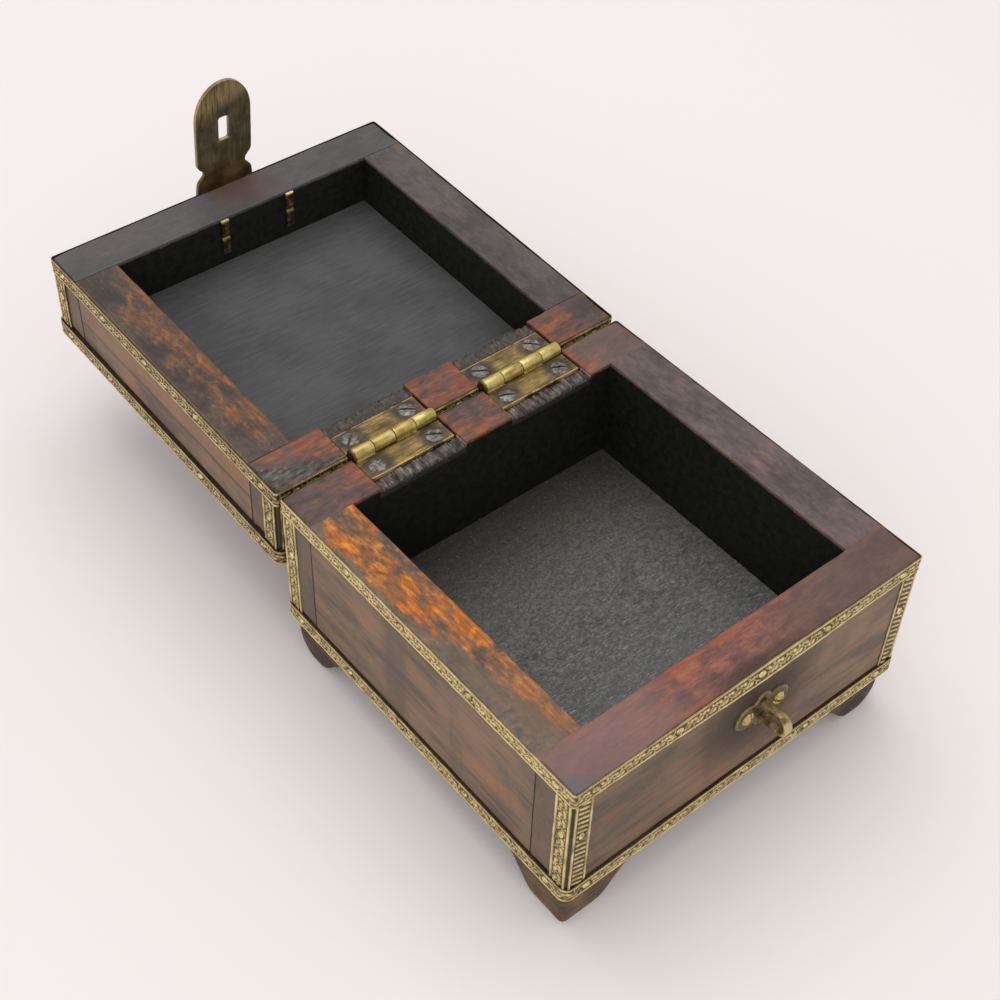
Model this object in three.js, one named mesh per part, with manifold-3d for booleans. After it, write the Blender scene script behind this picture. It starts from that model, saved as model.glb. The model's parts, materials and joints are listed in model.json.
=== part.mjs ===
import * as THREE from 'three';
import { mergeVertices } from 'three/addons/utils/BufferGeometryUtils.js';
import Module from 'manifold-3d';

// A small footed wooden box with brass-bound edges and a butt-hinged lid, shown open.
// Millimetres, +Z up, front towards -Y. The lid is built shut and then turned open on its hinge axis.

const wasm = await Module();
wasm.setup();

// Box walls
const boxWidth = 148.8;
const boxDepth = 147.8;
const baseWallHeight = 51;
const lidWallHeight = 29.3;
const sideWall = 17.5;
const frontWall = 17.2;
const backWall = 16.4;
const floorPanelThickness = 8;
const lidPanelThickness = 8;

// Plinth, top board and feet
const plinthThickness = 6.2;
const topBoardThickness = 6.4;
const plinthOverhang = 0.8;
const topBoardOverhang = 0.8;
const footHeight = 17.2;
const footLength = 31;
const footThickness = 13;
const footSetBack = 1.8;
const footFlat = 14;
const footToeLift = 10;
const footToeLength = 6.5;
const footCornerRadius = 3.5;
const footSquareCornerRadius = 2.2;
const boardCornerRadius = 3;

// Brass binding
const stripThickness = 0.6;
const stripWidth = 7.2;
const stripCornerMargin = 0.5;
const rimBandHeight = 6.5;

// Hinges
const hingeLength = 35;
const hingeLeftX = -27.5;
const hingeRightX = 29.2;
const hingeGap = 3;
const rimClearance = 0.3;
const barrelRadius = 2.5;
const hingePinRadius = 1.1;
const hingePinEnd = 0.5;
const leafThickness = 1.5;
const leafReach = 12;
const knuckleGap = 0.25;
const mortiseMargin = 0.7;
const lidTilt = THREE.MathUtils.degToRad(2.24);

// Hinge screws
const hingeScrewInset = 5.5;
const hingeScrewReach = 7.7;
const hingeScrewHeadRadius = 3.2;
const hingeScrewHeadDepth = 1.9;
const hingeScrewDome = 0.4;
const hingeScrewLength = 11;
const hingeScrewShank = 1.4;
const hingeScrewHoleGap = 0.7;
const screwPoint = 3;
const screwSlotWidth = 0.8;
const screwSlotDepth = 0.75;

// Hasp and its cotter pins on the lid
const latchX = 5;
const haspPivotRise = 8.5;
const haspPivotOut = 4.6;
const haspWidth = 24.8;
const haspThickness = 1.4;
const haspLength = 54.2;
const haspTipHeight = 17;
const haspNeckWidth = 19;
const haspNeckDrop = 13;
const haspNeckHalfHeight = 4;
const haspBarrelRadius = 2.2;
const haspPinRadius = 1;
const haspPinEnd = 0.8;
const haspLean = THREE.MathUtils.degToRad(4.5);
const slotWidth = 4.6;
const slotHeight = 11;
const cotterSpread = 15;
const cotterWidth = 3.4;
const cotterEyeRadius = 2.6;
const cotterShankHeight = 2.2;
const cotterLegThickness = 1.2;
const cotterLegReach = 7.8;

// Staple on the base front
const stapleDrop = 23.4;
const rosetteWidth = 23.6;
const rosetteHeight = 15.6;
const rosetteThickness = 1;
const loopHalfHeight = 4.2;
const loopBand = 1.7;
const loopWidth = 3.4;
const loopProjection = 12.4;
const loopRoot = 6;
const stapleScrewSpread = 6.8;
const stapleScrewHeadRadius = 2.5;
const stapleScrewHeadHeight = 1.4;
const stapleScrewShank = 1.2;
const stapleScrewLength = 8;
const stapleScrewBearing = 0.06;

// Clearances
const seam = 0.3;
const runningGap = 0.2;
const leafToBarrelGap = 0.3;
const cotterShankPlay = 0.2;

// How far a cutting shape runs past what it cuts
const overrun = 1;

// Heights and places worked out from the sizes above
const plinthTop = footHeight + plinthThickness;
const rimHeight = plinthTop + baseWallHeight;
const axisRise = rimClearance / 2;
const axisY = boxDepth / 2 + hingeGap / 2;
const axisZ = rimHeight + axisRise;
const openAngle = Math.PI - lidTilt;
const mortiseDepth = barrelRadius - axisRise + seam;
const haspPivotY = -hingeGap / 2 - boxDepth - haspPivotOut;
const haspPivotZ = axisRise + haspPivotRise;
const slotDrop = (haspPivotRise + rimClearance + stapleDrop) / Math.cos(haspLean);
const hingeScrewSpread = hingeLength / 2 - hingeScrewInset;
const knuckleCount = 4;
const knuckleLength = (hingeLength - (knuckleCount - 1) * knuckleGap) / knuckleCount;
const haspKnuckleLength = 2 * (cotterSpread - cotterWidth / 2 - seam);

function finish(color, roughness, metalness) {
  return new THREE.MeshStandardMaterial({ color, roughness, metalness });
}
const redWood = () => finish(0x5a2f22, 0.5, 0);
const agedWood = () => finish(0x3a2a28, 0.55, 0);
const darkWood = () => finish(0x2b2422, 0.6, 0);
const footWood = () => finish(0x43322a, 0.6, 0);
const paintedBlack = () => finish(0x1c1d1c, 0.8, 0);
const stampedBrass = () => finish(0xa08a4e, 0.4, 0.9);
const hingeBrass = () => finish(0xb79a45, 0.3, 0.9);
const darkBrass = () => finish(0x5d4d30, 0.4, 0.9);
const screwSteel = () => finish(0x9a9b9c, 0.35, 0.9);

// A closed geometry as a solid that can be cut and joined
function toSolid(geometry) {
  const bare = geometry.clone();
  bare.deleteAttribute('normal');
  bare.deleteAttribute('uv');
  const merged = mergeVertices(bare, 1e-4);
  const mesh = new wasm.Mesh({
    numProp: 3,
    vertProperties: new Float32Array(merged.attributes.position.array),
    triVerts: new Uint32Array(merged.index.array),
  });
  return new wasm.Manifold(mesh);
}

function toGeometry(solid) {
  const mesh = solid.getMesh();
  const geometry = new THREE.BufferGeometry();
  geometry.setAttribute('position', new THREE.BufferAttribute(mesh.vertProperties, 3));
  geometry.setIndex(new THREE.BufferAttribute(mesh.triVerts, 1));
  return geometry;
}

function cut(geometry, ...tools) {
  const solid = tools.reduce((rest, tool) => rest.subtract(toSolid(tool)), toSolid(geometry));
  return toGeometry(solid);
}

function join(geometry, ...others) {
  const solid = others.reduce((rest, other) => rest.add(toSolid(other)), toSolid(geometry));
  return toGeometry(solid);
}

// Two limits in rising order
function inOrder(a, b) {
  return [Math.min(a, b), Math.max(a, b)];
}

// A box between two limits along each axis
function block([x0, x1], [y0, y1], [z0, z1]) {
  const geometry = new THREE.BoxGeometry(x1 - x0, y1 - y0, z1 - z0);
  geometry.translate((x0 + x1) / 2, (y0 + y1) / 2, (z0 + z1) / 2);
  return geometry;
}

// A round bar along X, centred on the origin
function barAlongX(radius, length, sides = 20) {
  const geometry = new THREE.CylinderGeometry(radius, radius, length, sides);
  geometry.rotateZ(Math.PI / 2);
  return geometry;
}

// A shape drawn in Y and Z, carried along X about the origin
function prismAlongX(shape, width, curveSegments = 10) {
  const options = { depth: width, bevelEnabled: false, curveSegments };
  const geometry = new THREE.ExtrudeGeometry(shape, options);
  geometry.translate(0, 0, -width / 2);
  const basis = new THREE.Matrix4().makeBasis(
    new THREE.Vector3(0, 1, 0),
    new THREE.Vector3(0, 0, 1),
    new THREE.Vector3(1, 0, 0),
  );
  return geometry.applyMatrix4(basis);
}

// A shape drawn in X and Z, carried backwards along +Y from a front face
function plateFacingFront(shape, thickness, curveSegments = 10) {
  const options = { depth: thickness, bevelEnabled: false, curveSegments };
  const geometry = new THREE.ExtrudeGeometry(shape, options);
  geometry.rotateX(Math.PI / 2);
  return geometry.translate(0, thickness, 0);
}

function addPiece(group, name, geometry, material) {
  const mesh = new THREE.Mesh(geometry, material);
  mesh.name = name;
  group.add(mesh);
  return mesh;
}

const model = new THREE.Group();
const base = new THREE.Group();
const lid = new THREE.Group();
const hasp = new THREE.Group();
lid.position.set(0, axisY, axisZ);
lid.rotation.x = -openAngle;
hasp.position.set(latchX, haspPivotY, haspPivotZ);
hasp.rotation.x = haspLean;
model.add(base, lid);
lid.add(hasp);

// Wall frames: the base in its place, the lid shut and measured from the hinge axis
const baseFrame = {
  name: 'base',
  front: -boxDepth / 2,
  back: boxDepth / 2,
  low: plinthTop,
  high: rimHeight,
  rimAt: 'high',
  gap: 0,
  wood: redWood,
};
const lidFrame = {
  name: 'lid',
  front: -hingeGap / 2 - boxDepth,
  back: -hingeGap / 2,
  low: axisRise,
  high: axisRise + lidWallHeight,
  rimAt: 'low',
  gap: seam,
  wood: agedWood,
};

// The rim edge of a frame, and the direction from it into the wood
function rimOf(frame) {
  return frame.rimAt === 'high' ? frame.high : frame.low;
}
function intoWood(frame) {
  return frame.rimAt === 'high' ? -1 : 1;
}

// Heights from a frame's rim: a near and a far distance into the wood, in rising order
function heightsFromRim(frame, near, far) {
  const rim = rimOf(frame);
  const way = intoWood(frame);
  return inOrder(rim + way * near, rim + way * far);
}

const hingePlaces = [
  { name: 'left', x: hingeLeftX },
  { name: 'right', x: hingeRightX },
];

// Screw places of one hinge: the two screws stand either side of its middle
function screwPlaces(hinge) {
  return [
    { name: `${hinge.name}_1`, x: hinge.x - hingeScrewSpread },
    { name: `${hinge.name}_2`, x: hinge.x + hingeScrewSpread },
  ];
}

// The mortises for both leaves, and a hole for each screw, in a back board
function hingeCuts(frame) {
  const axis = frame === baseFrame ? axisY : 0;
  const tools = [];
  for (const hinge of hingePlaces) {
    const half = hingeLength / 2 + mortiseMargin;
    const deep = heightsFromRim(frame, -overrun, mortiseDepth);
    const through = [frame.back - backWall - overrun, frame.back + overrun];
    tools.push(block([hinge.x - half, hinge.x + half], through, deep));
    for (const screw of screwPlaces(hinge)) {
      const radius = hingeScrewShank + hingeScrewHoleGap;
      const [low, high] = heightsFromRim(frame, mortiseDepth - overrun, mortiseDepth + hingeScrewLength);
      const hole = new THREE.CylinderGeometry(radius, radius, high - low, 16);
      hole.rotateX(Math.PI / 2);
      hole.translate(screw.x, axis - hingeScrewReach, (low + high) / 2);
      tools.push(hole);
    }
  }
  return tools;
}

// Four walls: front and back run full width and the sides butt between them
function addWalls(group, frame, frontCuts) {
  const half = boxWidth / 2;
  const tall = [frame.low, frame.high];
  const between = [frame.front + frontWall + frame.gap, frame.back - backWall - frame.gap];
  const front = block([-half, half], [frame.front, frame.front + frontWall], tall);
  const back = block([-half, half], [frame.back - backWall, frame.back], tall);
  addPiece(group, `${frame.name}_front_board`, cut(front, ...frontCuts), frame.wood());
  addPiece(group, `${frame.name}_back_board`, cut(back, ...hingeCuts(frame)), frame.wood());
  const left = block([-half, -half + sideWall], between, tall);
  const right = block([half - sideWall, half], between, tall);
  addPiece(group, `${frame.name}_left_board`, left, frame.wood());
  addPiece(group, `${frame.name}_right_board`, right, frame.wood());
}

// A flat board inside the walls
function innerPanel(frame, heights) {
  const half = boxWidth / 2 - sideWall - frame.gap;
  const deep = [frame.front + frontWall + frame.gap, frame.back - backWall - frame.gap];
  return block([-half, half], deep, heights);
}

// The outline round a frame, a distance outside its walls, with square or rounded corners
function outlineRound(frame, reach, radius) {
  const right = boxWidth / 2 + reach;
  const front = frame.front - reach;
  const back = frame.back + reach;
  const shape = new THREE.Shape();
  if (radius === 0) {
    shape.moveTo(-right, front).lineTo(right, front).lineTo(right, back).lineTo(-right, back);
  } else {
    shape.absarc(right - radius, front + radius, radius, -Math.PI / 2, 0, false);
    shape.absarc(right - radius, back - radius, radius, 0, Math.PI / 2, false);
    shape.absarc(-right + radius, back - radius, radius, Math.PI / 2, Math.PI, false);
    shape.absarc(-right + radius, front + radius, radius, Math.PI, 1.5 * Math.PI, false);
  }
  shape.closePath();
  return shape;
}

function raised(shape, heights) {
  const options = { depth: heights[1] - heights[0], bevelEnabled: false, curveSegments: 5 };
  return new THREE.ExtrudeGeometry(shape, options).translate(0, 0, heights[0]);
}

// A flat board that stands proud of a frame's walls all round, with rounded corners
function overhangingBoard(frame, overhang, heights) {
  return raised(outlineRound(frame, overhang, boardCornerRadius), heights);
}

// A brass band round a board or a frame, as a closed ring
function ringBand(frame, reach, radius, heights) {
  const shape = outlineRound(frame, reach + stripThickness, radius === 0 ? 0 : radius + stripThickness);
  shape.holes.push(outlineRound(frame, reach, radius));
  return raised(shape, heights);
}

// The rim band, cut away where the hinges pass
function rimBand(frame) {
  const heights = heightsFromRim(frame, 0, rimBandHeight);
  const notches = hingePlaces.map((hinge) => {
    const half = hingeLength / 2 + mortiseMargin;
    const across = [frame.back - overrun, frame.back + frame.gap + stripThickness + overrun];
    const deep = heightsFromRim(frame, -overrun, mortiseDepth + seam);
    return block([hinge.x - half, hinge.x + half], across, deep);
  });
  return cut(ringBand(frame, frame.gap, 0, heights), ...notches);
}

// Two brass strips at each corner, one on each face
function addCornerStrips(group, frame) {
  const start = frame.gap + stripCornerMargin;
  const deep = [frame.gap, frame.gap + stripThickness];
  const farEnd = frame.high - frame.low - frame.gap;
  const tall = heightsFromRim(frame, rimBandHeight + frame.gap, farEnd);
  for (const [sideName, side] of [['left', -1], ['right', 1]]) {
    const wall = (side * boxWidth) / 2;
    for (const [endName, end, face] of [['front', -1, frame.front], ['back', 1, frame.back]]) {
      const onEnd = block(
        inOrder(wall - side * start, wall - side * (start + stripWidth)),
        inOrder(face + end * deep[0], face + end * deep[1]),
        tall,
      );
      const onSide = block(
        inOrder(wall + side * deep[0], wall + side * deep[1]),
        inOrder(face - end * start, face - end * (start + stripWidth)),
        tall,
      );
      addPiece(group, `${frame.name}_strip_${endName}_${sideName}`, onEnd, stampedBrass());
      addPiece(group, `${frame.name}_strip_side_${endName}_${sideName}`, onSide, stampedBrass());
    }
  }
}

// The outline of one wing of a bracket foot: distance from the corner, and height
function footProfile() {
  const rise = footLength - footFlat;
  const shape = new THREE.Shape();
  shape.moveTo(0, footHeight);
  shape.lineTo(0, 0);
  shape.lineTo(footFlat, 0);
  shape.bezierCurveTo(
    footFlat + rise * 0.23, 0,
    footFlat + rise * 0.37, footHeight * 0.32,
    footFlat + rise * 0.66, footHeight * 0.57,
  );
  shape.quadraticCurveTo(footFlat + rise * 0.89, footHeight * 0.8, footLength, footHeight);
  shape.closePath();
  return shape;
}

// What is rounded off the upright corner of a foot
function footCornerWaste(radius) {
  const shape = new THREE.Shape();
  shape.moveTo(-overrun, -overrun).lineTo(radius, -overrun).lineTo(radius, 0);
  shape.absarc(radius, radius, radius, 1.5 * Math.PI, Math.PI, true);
  shape.lineTo(-overrun, radius).closePath();
  return raised(shape, [-overrun, footHeight + overrun]);
}

// What is rasped off the toe of a foot, across its corner: distance along the diagonal, and height
function footToeWaste() {
  const cornerStart = footCornerRadius * (Math.SQRT2 - 1);
  const shape = new THREE.Shape();
  shape.moveTo(-overrun, -overrun).lineTo(footToeLength, -overrun).lineTo(footToeLength, 0);
  shape.quadraticCurveTo(footToeLength * 0.35, footToeLift * 0.22, cornerStart, footToeLift);
  shape.lineTo(-overrun, footToeLift).closePath();
  const options = { depth: 2 * footThickness, bevelEnabled: false, curveSegments: 6 };
  const across = new THREE.ExtrudeGeometry(shape, options).translate(0, 0, -footThickness);
  return across.rotateX(Math.PI / 2).rotateZ(Math.PI / 4);
}

// A foot is two wings that meet at the corner of the plinth. Its toe is rasped away or left square.
function footGeometry(sideX, sideY, isRasped) {
  const options = { depth: footThickness, bevelEnabled: false, curveSegments: 6 };
  const alongX = new THREE.Matrix4().makeBasis(
    new THREE.Vector3(1, 0, 0),
    new THREE.Vector3(0, 0, 1),
    new THREE.Vector3(0, 1, 0),
  );
  const alongY = new THREE.Matrix4().makeBasis(
    new THREE.Vector3(0, 1, 0),
    new THREE.Vector3(0, 0, 1),
    new THREE.Vector3(1, 0, 0),
  );
  const wingX = flipFaces(new THREE.ExtrudeGeometry(footProfile(), options).applyMatrix4(alongX));
  const wingY = new THREE.ExtrudeGeometry(footProfile(), options).applyMatrix4(alongY);
  const raspedWaste = [footCornerWaste(footCornerRadius), footToeWaste()];
  const squareWaste = [footCornerWaste(footSquareCornerRadius)];
  const foot = cut(join(wingX, wingY), ...(isRasped ? raspedWaste : squareWaste));
  foot.applyMatrix4(new THREE.Matrix4().makeScale(-sideX, -sideY, 1));
  return sideX * sideY < 0 ? flipFaces(foot) : foot;
}

// Turns a mirrored geometry's faces the right way out
function flipFaces(geometry) {
  const flat = geometry.index ? geometry.toNonIndexed() : geometry;
  const position = flat.attributes.position;
  for (let i = 0; i < position.count; i += 3) {
    const second = new THREE.Vector3().fromBufferAttribute(position, i + 1);
    const third = new THREE.Vector3().fromBufferAttribute(position, i + 2);
    position.setXYZ(i + 1, third.x, third.y, third.z);
    position.setXYZ(i + 2, second.x, second.y, second.z);
  }
  return flat;
}

// A slotted screw with its head's rim at the origin and its point downwards
function slottedScrew({ headRadius, headDepth, dome, shank, length, slotTurn }) {
  const points = [
    [0, -length],
    [shank, -length + screwPoint],
    [shank, -headDepth],
    [headRadius, 0],
    [headRadius * 0.9, dome * 0.35],
    [headRadius * 0.55, dome * 0.85],
    [0, dome],
  ];
  const turned = new THREE.LatheGeometry(points.map(([r, z]) => new THREE.Vector2(r, z)), 16);
  turned.rotateX(Math.PI / 2);
  const slot = block(
    [-headRadius - overrun, headRadius + overrun],
    [-screwSlotWidth / 2, screwSlotWidth / 2],
    [dome - screwSlotDepth, dome + overrun],
  );
  slot.rotateZ(slotTurn);
  return cut(turned, slot);
}

// One hinge leaf with its knuckles. Side -1 lies below the axis, side 1 above it when the lid is shut.
function hingeLeaf(side, knuckles) {
  const near = barrelRadius + leafToBarrelGap;
  const flat = inOrder(side * barrelRadius, side * (barrelRadius - leafThickness));
  let leaf = block([-hingeLength / 2, hingeLength / 2], [-leafReach, -near], flat);
  for (const index of knuckles) {
    const start = -hingeLength / 2 + index * (knuckleLength + knuckleGap);
    const wrap = block([start, start + knuckleLength], [-near - overrun, 0], flat);
    const barrel = barAlongX(barrelRadius, knuckleLength).translate(start + knuckleLength / 2, 0, 0);
    leaf = join(leaf, wrap, barrel);
  }
  const bore = barAlongX(hingePinRadius + runningGap, hingeLength + 2 * overrun, 16);
  const slope = (hingeScrewHeadRadius - hingeScrewShank) / hingeScrewHeadDepth;
  const holes = [-hingeScrewSpread, hingeScrewSpread].map((x) => {
    const past = runningGap;
    const wide = hingeScrewHeadRadius + seam + slope * past;
    const narrow = hingeScrewHeadRadius + seam - slope * (leafThickness + past);
    const hole = new THREE.CylinderGeometry(wide, narrow, leafThickness + 2 * past, 16);
    hole.rotateX(side < 0 ? Math.PI / 2 : -Math.PI / 2);
    return hole.translate(x, -hingeScrewReach, side * (barrelRadius - leafThickness / 2));
  });
  return cut(leaf, bore, ...holes);
}

const slotTurns = { left_1: 0.5, left_2: -0.3, right_1: 0.35, right_2: -0.5 };
const lidSlotTurns = { left_1: -0.2, left_2: 1.1, right_1: 0.15, right_2: -0.8 };

// Leaves and screws of both hinges on one half, about the hinge axis
function addHingeHalf(group, frame, side, knuckles, turns) {
  const axisPlace = frame === baseFrame ? [0, axisY, axisZ] : [0, 0, 0];
  for (const hinge of hingePlaces) {
    const leaf = hingeLeaf(side, knuckles).translate(hinge.x + axisPlace[0], axisPlace[1], axisPlace[2]);
    addPiece(group, `hinge_${hinge.name}_${frame.name}_leaf`, leaf, hingeBrass());
    for (const screw of screwPlaces(hinge)) {
      const geometry = slottedScrew({
        headRadius: hingeScrewHeadRadius,
        headDepth: hingeScrewHeadDepth,
        dome: hingeScrewDome,
        shank: hingeScrewShank,
        length: hingeScrewLength,
        slotTurn: turns[screw.name],
      });
      if (side > 0) geometry.rotateX(Math.PI);
      const leafTop = side * (barrelRadius - leafThickness);
      geometry.translate(screw.x, axisPlace[1] - hingeScrewReach, axisPlace[2] + leafTop);
      addPiece(group, `${frame.name}_hinge_screw_${screw.name}`, geometry, screwSteel());
    }
  }
}

// The scalloped rosette under the staple: two round side lobes and two flatter ones above and below
function rosetteShape() {
  const lobe = rosetteHeight / 2;
  const reach = rosetteWidth / 2;
  const waist = lobe * 0.78;
  const shape = new THREE.Shape();
  shape.moveTo(-waist * 0.75, waist);
  shape.quadraticCurveTo(0, lobe * 1.25, waist * 0.75, waist);
  shape.quadraticCurveTo(reach * 0.62, lobe, reach * 0.86, waist * 0.72);
  shape.quadraticCurveTo(reach * 1.14, 0, reach * 0.86, -waist * 0.72);
  shape.quadraticCurveTo(reach * 0.62, -lobe, waist * 0.75, -waist);
  shape.quadraticCurveTo(0, -lobe * 1.25, -waist * 0.75, -waist);
  shape.quadraticCurveTo(-reach * 0.62, -lobe, -reach * 0.86, -waist * 0.72);
  shape.quadraticCurveTo(-reach * 1.14, 0, -reach * 0.86, waist * 0.72);
  shape.quadraticCurveTo(-reach * 0.62, lobe, -waist * 0.75, waist);
  return shape;
}

const stapleZ = rimHeight - stapleDrop;
const frontFace = -boxDepth / 2;
const stapleScrewXs = [['left', latchX - stapleScrewSpread], ['right', latchX + stapleScrewSpread]];

// The way that the loop's legs take through the rosette and into the wood
function loopPassage(deep) {
  return block(
    [latchX - loopWidth / 2 - seam, latchX + loopWidth / 2 + seam],
    deep,
    [stapleZ - loopHalfHeight - seam, stapleZ + loopHalfHeight + seam],
  );
}

// Pocket and screw holes behind the staple, in the base front board
function stapleCuts() {
  const pocket = loopPassage([frontFace - overrun, frontFace + loopRoot + seam]);
  const radius = stapleScrewShank + seam;
  const holes = stapleScrewXs.map(([, x]) => {
    const hole = new THREE.CylinderGeometry(radius, radius, stapleScrewLength + overrun, 16);
    return hole.translate(x, frontFace + (stapleScrewLength - overrun) / 2, stapleZ);
  });
  return [pocket, ...holes];
}

// The D-shaped loop: two straight legs and a round end, open at the back where the legs enter the wood
function loopShape() {
  const outer = loopHalfHeight;
  const inner = loopHalfHeight - loopBand;
  const bend = -(loopProjection - outer);
  const shape = new THREE.Shape();
  shape.moveTo(loopRoot, -outer);
  shape.lineTo(loopRoot, -inner);
  shape.lineTo(bend, -inner);
  shape.absarc(bend, 0, inner, -Math.PI / 2, Math.PI / 2, true);
  shape.lineTo(loopRoot, inner);
  shape.lineTo(loopRoot, outer);
  shape.lineTo(bend, outer);
  shape.absarc(bend, 0, outer, Math.PI / 2, -Math.PI / 2, false);
  shape.lineTo(loopRoot, -outer);
  return shape;
}

function addStaple(group) {
  const plate = plateFacingFront(rosetteShape(), rosetteThickness, 6)
    .translate(latchX, frontFace - rosetteThickness, stapleZ);
  const opening = loopPassage([frontFace - rosetteThickness - overrun, frontFace + overrun]);
  const radius = stapleScrewShank + seam;
  const holeLength = 2 * (rosetteThickness + overrun);
  const screwHoles = stapleScrewXs.map(([, x]) => (
    new THREE.CylinderGeometry(radius, radius, holeLength, 16).translate(x, frontFace, stapleZ)
  ));
  addPiece(group, 'staple_plate', cut(plate, opening, ...screwHoles), darkBrass());
  const loop = prismAlongX(loopShape(), loopWidth, 8).translate(latchX, frontFace, stapleZ);
  addPiece(group, 'staple_loop', loop, hingeBrass());
  for (const [name, x] of stapleScrewXs) {
    const screw = slottedScrew({
      headRadius: stapleScrewHeadRadius,
      headDepth: stapleScrewBearing / 2,
      dome: stapleScrewHeadHeight,
      shank: stapleScrewShank,
      length: stapleScrewLength,
      slotTurn: name === 'left' ? 1.35 : 0.4,
    });
    screw.rotateX(Math.PI / 2);
    screw.translate(x, frontFace - rosetteThickness - stapleScrewBearing, stapleZ);
    addPiece(group, `staple_screw_${name}`, screw, hingeBrass());
  }
}

// Holes for the two cotter pins through the lid's front board
const cotterXs = [['left', latchX - cotterSpread], ['right', latchX + cotterSpread]];
const cotterShankHalfWidth = cotterWidth / 2 - cotterShankPlay;

function cotterCuts() {
  return cotterXs.map(([, x]) => block(
    [x - cotterShankHalfWidth - seam, x + cotterShankHalfWidth + seam],
    [lidFrame.front - overrun, lidFrame.front + frontWall + overrun],
    [haspPivotZ - cotterShankHeight / 2 - seam, haspPivotZ + cotterShankHeight / 2 + seam],
  ));
}

// A cotter pin: an eye round the hasp pin, a shank through the wood, and two legs bent flat inside
function cotterGeometry(x) {
  const eye = new THREE.Shape();
  eye.absarc(0, 0, cotterEyeRadius, 0, 2 * Math.PI, false);
  const insideFace = lidFrame.front + frontWall + seam;
  const ring = prismAlongX(eye, cotterWidth, 9).translate(x, haspPivotY, haspPivotZ);
  const shank = block(
    [x - cotterShankHalfWidth, x + cotterShankHalfWidth],
    [haspPivotY + haspPinRadius, insideFace + cotterLegThickness / 2],
    [haspPivotZ - cotterShankHeight / 2, haspPivotZ + cotterShankHeight / 2],
  );
  const legs = block(
    [x - cotterWidth / 2, x + cotterWidth / 2],
    [insideFace, insideFace + cotterLegThickness],
    [haspPivotZ - cotterLegReach, haspPivotZ + cotterLegReach],
  );
  const bore = barAlongX(haspPinRadius + runningGap, cotterWidth + 2 * overrun, 16);
  return cut(join(ring, shank, legs), bore.translate(x, haspPivotY, haspPivotZ));
}

function addCotters(group) {
  for (const [name, x] of cotterXs) {
    addPiece(group, `cotter_${name}`, cotterGeometry(x), darkBrass());
  }
  const pinLength = 2 * (cotterSpread + cotterWidth / 2 + haspPinEnd);
  const pin = barAlongX(haspPinRadius, pinLength, 12).translate(latchX, haspPivotY, haspPivotZ);
  addPiece(group, 'hasp_pin', pin, darkBrass());
}

// The hasp's outline: wide root, waist, straight sides and a round tip, with the slot
function haspShape() {
  const half = haspWidth / 2;
  const root = haspKnuckleLength / 2;
  const neck = haspNeckWidth / 2;
  const waistTop = -(haspNeckDrop - haspNeckHalfHeight);
  const waistEnd = -(haspNeckDrop + haspNeckHalfHeight);
  const tipStart = -(haspLength - haspTipHeight);
  const shape = new THREE.Shape();
  shape.moveTo(-root, 0);
  shape.lineTo(root, 0);
  shape.lineTo(half, waistTop);
  shape.quadraticCurveTo(neck + 0.4, -haspNeckDrop + 2, neck, -haspNeckDrop);
  shape.quadraticCurveTo(neck + 0.2, -haspNeckDrop - 2, half, waistEnd);
  shape.lineTo(half, tipStart);
  shape.absellipse(0, tipStart, half, haspTipHeight, 0, -Math.PI, true);
  shape.lineTo(-half, waistEnd);
  shape.quadraticCurveTo(-neck - 0.2, -haspNeckDrop - 2, -neck, -haspNeckDrop);
  shape.quadraticCurveTo(-neck - 0.4, -haspNeckDrop + 2, -half, waistTop);
  shape.lineTo(-root, 0);
  const slot = new THREE.Path();
  const slotLow = -slotDrop - slotHeight / 2;
  const slotHigh = -slotDrop + slotHeight / 2;
  slot.moveTo(-slotWidth / 2, slotLow);
  slot.lineTo(slotWidth / 2, slotLow);
  slot.lineTo(slotWidth / 2, slotHigh);
  slot.lineTo(-slotWidth / 2, slotHigh);
  slot.closePath();
  shape.holes.push(slot);
  return shape;
}

// The hasp: its plate hangs from the outer side of a rolled barrel that turns on the hasp pin
function addHasp(group) {
  const plate = plateFacingFront(haspShape(), haspThickness, 10).translate(0, -haspBarrelRadius, 0);
  const barrel = barAlongX(haspBarrelRadius, haspKnuckleLength);
  const bore = barAlongX(haspPinRadius + runningGap, haspKnuckleLength + 2 * overrun, 16);
  addPiece(group, 'hasp_plate', cut(join(plate, barrel), bore), darkBrass());
}

// Base: walls, floor panel, plinth board, feet and binding
addWalls(base, baseFrame, stapleCuts());
const floorPanelTop = plinthTop + floorPanelThickness;
addPiece(base, 'base_floor_panel', innerPanel(baseFrame, [plinthTop, floorPanelTop]), paintedBlack());
const plinthHeights = [footHeight, plinthTop];
addPiece(base, 'plinth_board', overhangingBoard(baseFrame, plinthOverhang, plinthHeights), darkWood());
for (const [endName, end] of [['front', -1], ['back', 1]]) {
  for (const [sideName, side] of [['left', -1], ['right', 1]]) {
    const isRasped = side > 0 || end > 0;
    const foot = footGeometry(side, end, isRasped);
    const cornerX = side * (boxWidth / 2 + plinthOverhang - footSetBack);
    const cornerY = end * (boxDepth / 2 + plinthOverhang - footSetBack);
    addPiece(base, `foot_${endName}_${sideName}`, foot.translate(cornerX, cornerY, 0), footWood());
  }
}
addPiece(base, 'base_rim_band', rimBand(baseFrame), stampedBrass());
const plinthBand = ringBand(baseFrame, plinthOverhang, boardCornerRadius, plinthHeights);
addPiece(base, 'plinth_band', plinthBand, stampedBrass());
addCornerStrips(base, baseFrame);

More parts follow.
